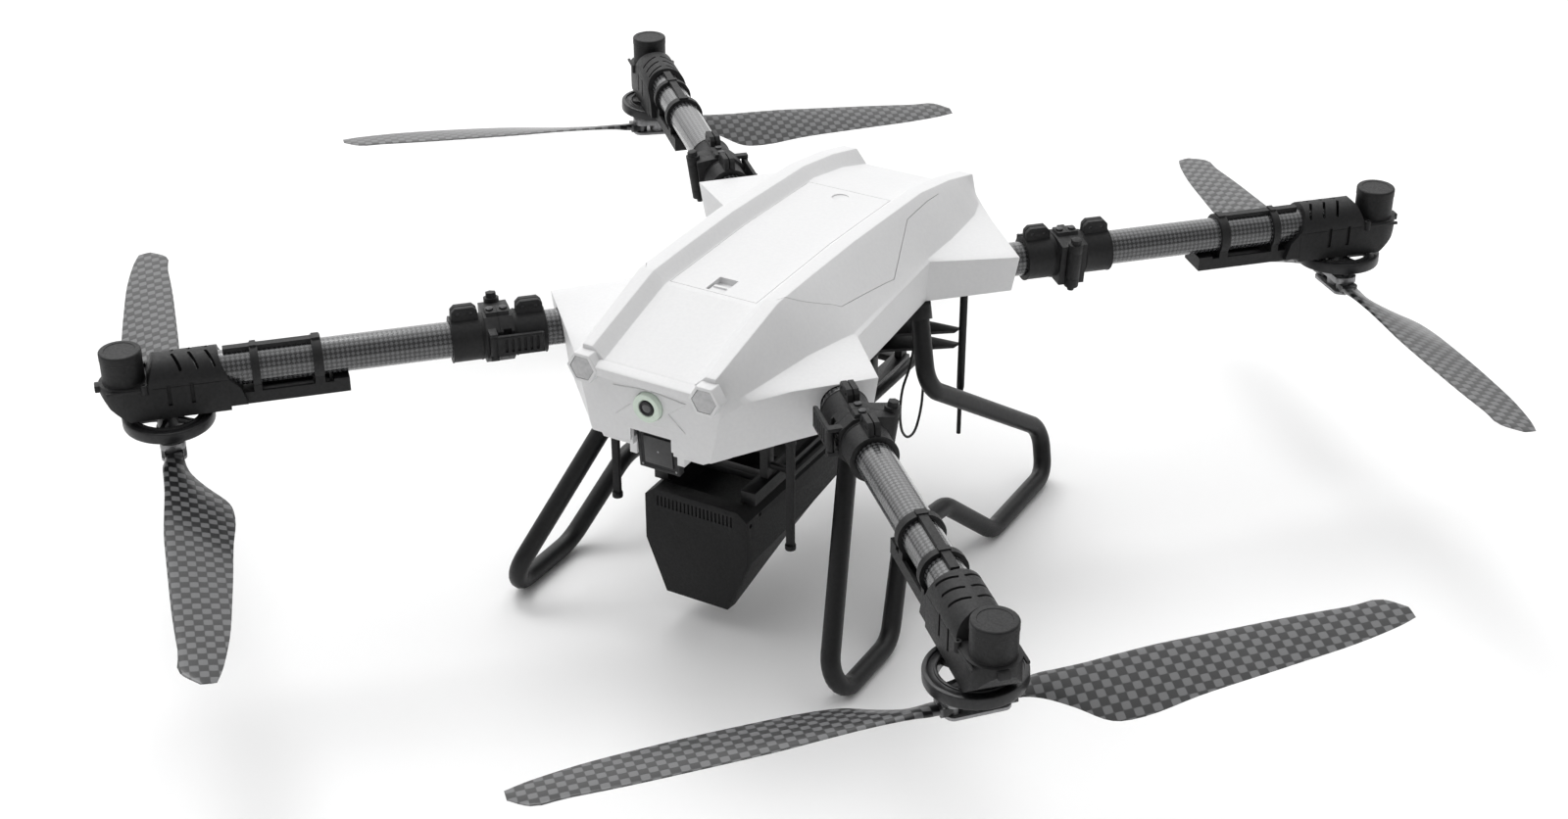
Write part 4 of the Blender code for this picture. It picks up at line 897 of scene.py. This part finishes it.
CANOPY_PLAN = ((0.0, -0.1720), (0.0810, -0.1650), (0.1180, -0.0880), (0.1250, 0.0220),
               (0.0960, 0.1100), (0.0930, 0.1953), (0.0, 0.1953))
HATCH_HALF_WIDTH = 0.0540
HATCH_FRONT_Y = -0.1600
HATCH_REAR_Y = 0.1500
LATCH_FLOOR_Z = 0.3949


def between(table, y):
    """Read a (y, value) table along straight lines."""
    for (y0, a), (y1, b) in zip(table, table[1:]):
        if y <= y1:
            return a + (b - a) * (y - y0) / (y1 - y0)
    return table[-1][1]


def hull_row(station, inset):
    """One cross-section of the hull, from its right hem over the deck to its left hem."""
    y, foot_x, foot_z, edge_x, edge_z, hem_x, hem_z = station
    crest_x, crest_z, deck_z = between(CREST_X, y), between(CREST_Z, y), between(DECK_Z, y)
    half = [
        (RIDGE_FOOT_X + inset * 0.4, deck_z - inset),
        (RIDGE_INNER_X + inset * 0.4, crest_z - inset),
        (crest_x - inset * 0.6, crest_z - inset),
        (foot_x - inset * 0.8, foot_z - inset * 0.8),
        (edge_x - inset, edge_z - inset),
        (hem_x - inset, hem_z),
    ]
    if y == HULL_STATIONS[0][0]:
        y += inset
    elif y == HULL_STATIONS[-1][0]:
        y -= inset
    left = [(x, y, z) for x, z in half]
    right = [(-x, y, z) for x, z in reversed(half)]
    return right + left


def hull(inset, hem_drop):
    """Closed hull; every facet is a fine patch, so its slow twist shades evenly."""
    rows = []
    for station in HULL_STATIONS:
        row = hull_row(station, inset)
        row[0] = (row[0][0], row[0][1], row[0][2] - hem_drop)
        row[-1] = (row[-1][0], row[-1][1], row[-1][2] - hem_drop)
        rows.append([Vector(p) for p in row])
    steps_along, steps_across = 5, 4
    fine = []
    for a, b in zip(rows, rows[1:]):
        for k in range(steps_along):
            fine.append([p.lerp(q, k / steps_along) for p, q in zip(a, b)])
    fine.append(rows[-1])
    dense = []
    for row in fine:
        line = []
        for p, q in zip(row, row[1:]):
            line += [p.lerp(q, k / steps_across) for k in range(steps_across)]
        dense.append(line + [row[-1]])
    return loft(dense)


def hexagon(x, z, radius):
    corners = [math.pi * k / 3 for k in range(6)]
    return [(x + radius * math.cos(a), z + radius * math.sin(a)) for a in corners]


def plan_outline(half_plan, grow):
    centre_y = (half_plan[0][1] + half_plan[-1][1]) / 2
    right = [(x + grow if x > 0 else 0.0, y + math.copysign(grow, y - centre_y)) for x, y in half_plan]
    return right + [(-x, y) for x, y in reversed(right) if x > 0]


def dress_shells():
    outside = softened(hull(0.0, 0.0), 0.0030, 14.0, 4)
    skin = cut_shell(outside, hull(SKIN, 0.02))
    arches = []
    for _, centre, azimuth, hand in ARMS:
        place = arm_matrix(centre, azimuth, hand)
        arches.append(moved(along_arm(-0.470, -0.380, TUBE_R + ARCH_GAP), place))
        below = box((-0.470, -TUBE_R - ARCH_GAP, 0.28), (-0.380, TUBE_R + ARCH_GAP, ARM_Z))
        arches.append(moved(below, place))
    skin = cut_shell(skin, *arches)
    nose_z = between(DECK_Z, HULL_STATIONS[0][0])
    lip_outline = [(-0.2925, nose_z), (-0.3030, 0.3618), (-0.3030, 0.3520), (-0.2925, 0.3490),
                   (-0.2880, 0.3490), (-0.2880, nose_z)]
    lip = softened(prism(lip_outline, -0.0600, 0.0600, "X"), 0.0012, 20.0, 3)
    star = softened(prism(STAR, -0.2917, -0.2895, "Y"), 0.0007, 20.0, 1)
    stubs = [prism(hexagon(side * LIGHT_X, LIGHT_Z, LIGHT_R), -0.3040, -0.2880, "Y") for side in (-1, 1)]
    stubs = [softened(stub, 0.0012, 20.0, 3) for stub in stubs]
    skin = join_shell(skin, lip, star, *stubs)
    pocket = [prism(hexagon(side * LIGHT_X, LIGHT_Z, LENS_R + 0.0004), -0.3050, -0.3005, "Y")
              for side in (-1, 1)]
    lens_hole = rod((0, -0.31, CAMERA_Z), (0, -0.28, CAMERA_Z), CAMERA_R + 0.0006, 64)
    bay = box((-RADAR_BAY_HALF_WIDTH, -0.3000, 0.2300), (RADAR_BAY_HALF_WIDTH, -0.2640, 0.2920))
    skin = cut_shell(skin, *pocket, lens_hole, bay)
    cover_cut = prism(plan_outline(CANOPY_PLAN, SEAM / 2), 0.34, 0.43, "Z")
    cover_keep = prism(plan_outline(CANOPY_PLAN, -SEAM / 2), 0.33, 0.44, "Z")
    main_shell = cut_shell(skin.copy(), cover_cut)
    cover = keep_shell(skin, cover_keep)
    opening = box((-HATCH_HALF_WIDTH, HATCH_FRONT_Y, 0.36), (HATCH_HALF_WIDTH, HATCH_REAR_Y, 0.45))
    lid = box((-HATCH_HALF_WIDTH + SEAM, HATCH_FRONT_Y + SEAM, 0.37),
              (HATCH_HALF_WIDTH - SEAM, HATCH_REAR_Y - SEAM, 0.44))
    hatch = keep_shell(cover.copy(), lid)
    canopy = cut_shell(cover, opening)
    latch_well = box((-0.0115, -0.1560, 0.3900), (0.0115, -0.1250, 0.4300))
    recess = softened(post(0.0, 0.128, 0.3975, 0.4200, 0.010, 48), 0.0004)
    walls = box((-0.0145, -0.1590, 0.3924), (0.0145, -0.1210, 0.4002))
    well = cut(walls, box((-0.0115, -0.1560, LATCH_FLOOR_Z), (0.0115, -0.1250, 0.43)))
    hatch = join_shell(cut_shell(hatch, latch_well, recess), well)
    show("main_shell_look", main_shell, WHITE, "root", "main_shell", 24.0)
    show("canopy_look", canopy, WHITE, "root", "canopy", 24.0)
    show("top_hatch_look", hatch, WHITE, "hatch", "top_hatch", 24.0)


# ---- body pieces taken over from the frame

def refined(node, look, width, angle=30.0):
    """The frame's own solid with rounded edges and a finished material."""
    mesh = frame["nodes"][node].data.copy()
    bm = bmesh.new()
    bm.from_mesh(mesh)
    bmesh.ops.remove_doubles(bm, verts=bm.verts, dist=0.00001)
    bmesh.ops.dissolve_limit(bm, angle_limit=math.radians(1.0), verts=bm.verts, edges=bm.edges)
    bm.to_mesh(mesh)
    bm.free()
    mesh = softened(mesh, width, angle)
    body = frame["nodes"][node]["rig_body"]
    show(node + "_look", mesh, look, body, node)


def dress_body():
    refined("belly_shell", WHITE, 0.0012, 14.0)
    refined("hatch_latch", WHITE, 0.0006)
    refined("centre_frame", COAT, 0.0004)
    refined("rail_frame", COAT, 0.0006)
    refined("flight_controller", MODULE, 0.0012)
    refined("radar_panel", MODULE, 0.0006)
    refined("battery_pack", CASE, 0.0009, 20.0)
    for side in ("left", "right"):
        refined("antenna_front_" + side, ANTENNA, 0.0004, 40.0)
        refined("marker_light_" + side, LENS, 0.0005)
    refined("antenna_rear", ANTENNA, 0.0004, 50.0)


def dress_radar():
    """Window, screws and centre mark on the square panel under the nose."""
    place = Matrix.Translation((0, RADAR_Y, RADAR_Z)) @ Matrix.Rotation(RADAR_TILT, 4, "X")
    low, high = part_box("radar_panel")
    front = -(high.y - low.y) / 2 + RADAR_SIDE / 2 * math.sin(RADAR_TILT)
    window_edge = RADAR_SIDE / 2 - 0.0075
    screw_edge = RADAR_SIDE / 2 - 0.0042
    window = softened(box((-window_edge, front - 0.0006, -window_edge),
                          (window_edge, front + 0.0010, window_edge)), 0.0006)
    mark = softened(rod((0, front - 0.0009, 0), (0, front + 0.0006, 0), 0.0012, 24), 0.0003)
    screws = []
    for x in (-screw_edge, screw_edge):
        for z in (-screw_edge, screw_edge):
            screw = rod((x, front - 0.0004, z), (x, front + 0.0010, z), 0.0013, 20)
            screws.append(softened(screw, 0.0003))
    show("radar_window", moved(window, place), WINDOW, "root", None)
    show("radar_screws", moved(union(mark, *screws), place), HUB_GREY, "root", None)


def dress_camera():
    """Pale ring, barrel and domed lens, turned about the camera's own axis."""
    turn = Matrix.Translation((0, CAMERA_BACK_Y, CAMERA_Z)) @ Matrix.Rotation(math.pi / 2, 4, "X")
    ring = [(CAMERA_R, 0.0), (CAMERA_R, 0.0205), (0.0161, 0.0217), (0.0154, 0.0222), (0.0100, 0.0214),
            (0.0092, 0.0205), (0.0086, 0.0190)]
    show("camera_ring", moved(lathe(ring, 64), turn), RING_GREEN, "root", "fpv_camera")
    barrel = [(0.0084, 0.0188), (0.0084, 0.0216), (0.0078, 0.0221), (0.0066, 0.0221), (0.0062, 0.0212)]
    show("camera_barrel", moved(lathe(barrel, 48), turn), MODULE, "root", None)
    quarter = [math.pi / 2 * k / 8 for k in range(8)]
    dome = [(0.0060 * math.cos(a), 0.0205 + 0.0014 * math.sin(a)) for a in quarter]
    show("camera_lens", moved(lathe(dome, 40), turn), GLASS_DARK, "root", None)


# ---- tubes and cable

GEAR_FOOT_X = 0.2139
GEAR_FOOT_Z = 0.0112
GEAR_LEAN = 0.33
GEAR_R = 0.0110
CABLE_R = 0.0016
# y, z and bend radius
GEAR_BENDS = (
    (-0.0562, 0.2950, 0.0),
    (-0.2936, GEAR_FOOT_Z, 0.030),
    (-0.1450, GEAR_FOOT_Z, 0.045),
    (-0.0620, 0.0960, 0.035),
    (0.0400, 0.0840, 0.035),
    (0.1230, GEAR_FOOT_Z, 0.035),
    (0.2740, GEAR_FOOT_Z, 0.030),
    (0.2960, 0.0620, 0.030),
    (0.0700, 0.2140, 0.035),
    (0.0993, 0.2980, 0.0),
)
CABLE_POINTS = ((0.1000, 0.1280, 0.2245), (0.1005, 0.1180, 0.2050), (0.1010, 0.1000, 0.1850),
                (0.1025, 0.0920, 0.1580), (0.1035, 0.0960, 0.1320), (0.1040, 0.1120, 0.1150),
                (0.1040, 0.1320, 0.1160), (0.1030, 0.1480, 0.1400), (0.1015, 0.1540, 0.1700),
                (0.1005, 0.1540, 0.2000), (0.1000, 0.1500, 0.2245))


def rounded_route(points, radii, steps):
    route = [points[0]]
    for before, here, after, radius in zip(points, points[1:], points[2:], radii[1:]):
        a, b = (before - here).normalized(), (after - here).normalized()
        half = a.angle(b) / 2
        reach = radius / math.tan(half)
        centre = here + (a + b).normalized() * (radius / math.sin(half))
        start, end = here + a * reach - centre, here + b * reach - centre
        for k in range(steps + 1):
            route.append(centre + start.slerp(end, k / steps).normalized() * radius)
    route.append(points[-1])
    return route


def smooth_route(points, steps):
    points = [Vector(p) for p in points]
    ends = [points[0] * 2 - points[1], *points, points[-1] * 2 - points[-2]]
    route = []
    for a, b, c, d in zip(ends, ends[1:], ends[2:], ends[3:]):
        for k in range(steps):
            t = k / steps
            route.append(0.5 * (2 * b + (c - a) * t + (2 * a - 5 * b + 4 * c - d) * t ** 2
                                + (3 * b - a - 3 * c + d) * t ** 3))
    return route + [points[-1]]


def curve_piece(name, route, radius, look, node, resolution):
    curve = bpy.data.curves.new(name, "CURVE")
    curve.dimensions = "3D"
    curve.bevel_depth = radius
    curve.bevel_resolution = resolution
    curve.use_fill_caps = True
    spline = curve.splines.new("POLY")
    spline.points.add(len(route) - 1)
    for point, place in zip(spline.points, route):
        point.co = (*place, 1.0)
    spline.use_smooth = True
    curve.materials.append(look)
    item = linked(name, curve)
    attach(item, "root")
    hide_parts(node)
    return item


def dress_tubes():
    points = [Vector((GEAR_FOOT_X - GEAR_LEAN * (z - GEAR_FOOT_Z), y, z)) for y, z, _ in GEAR_BENDS]
    route = rounded_route(points, [radius for _, _, radius in GEAR_BENDS], 10)
    mirrored = [Vector((-p.x, p.y, p.z)) for p in route]
    curve_piece("gear_left_look", route, GEAR_R, COAT, "gear_left", 8)
    curve_piece("gear_right_look", mirrored, GEAR_R, COAT, "gear_right", 8)
    line = smooth_route(CABLE_POINTS, 5)
    loop = curve_piece("cable_loop_look", line, CABLE_R, JACKET, "cable_loop", 4)


# ---- stage

def studio():
    bm = bmesh.new()
    bmesh.ops.create_grid(bm, x_segments=1, y_segments=1, size=9.0)
    floor = linked("floor", mesh_of(bm))
    g = Graph("floor_paper")
    g.shader.inputs["Base Color"].default_value = (0.93, 0.93, 0.93, 1.0)
    g.finish(None, g.spread(g.noise(6.0, 3.0), 0.75, 0.85), None)
    floor.data.materials.append(g.material)
    world = bpy.data.worlds.new("studio")
    world.use_nodes = True
    tree = world.node_tree
    direction = tree.nodes.new("ShaderNodeTexCoord").outputs["Generated"]
    facing = tree.nodes.new("ShaderNodeVectorMath")
    facing.operation = "DOT_PRODUCT"
    facing.inputs[1].default_value = Vector((-0.42, 0.38, 0.80)).normalized()
    tree.links.new(direction, facing.inputs[0])
    glow = tree.nodes.new("ShaderNodeMapRange")
    glow.interpolation_type = "SMOOTHSTEP"
    for socket, value in (("From Min", 0.35), ("From Max", 0.92), ("To Min", 0.42), ("To Max", 1.75)):
        glow.inputs[socket].default_value = value
    tree.links.new(facing.outputs["Value"], glow.inputs["Value"])
    background = tree.nodes["Background"]
    background.inputs["Color"].default_value = (1.0, 1.0, 1.0, 1.0)
    tree.links.new(glow.outputs["Result"], background.inputs["Strength"])
    bpy.context.scene.world = world
    bpy.context.scene.view_settings.view_transform = "Standard"
    for name, place, strength, spread in (
            ("key", (-1.3, 0.9, 2.4), 0.62, 20.0),
            ("side", (-1.6, -0.7, 1.5), 0.16, 30.0)):
        data = bpy.data.lights.new(name, "SUN")
        data.energy = strength
        data.angle = math.radians(spread)
        lamp = linked(name, data)
        lamp.location = place
        lamp.rotation_euler = (-Vector(place)).to_track_quat("-Z", "Y").to_euler()
    data = bpy.data.cameras.new("camera")
    data.lens = 55.125
    data.sensor_width = 36.0
    data.clip_end = 100.0
    camera = linked("camera", data)
    camera.location = (1.1961, -2.1234, 1.5543)
    aim = Vector((-0.0029, 0.0, 0.178)) - camera.location
    camera.rotation_euler = aim.to_track_quat("-Z", "Y").to_euler()
    bpy.context.scene.camera = camera


studio()
dress_tubes()
dress_arms()
dress_shells()
dress_body()
dress_radar()
dress_camera()
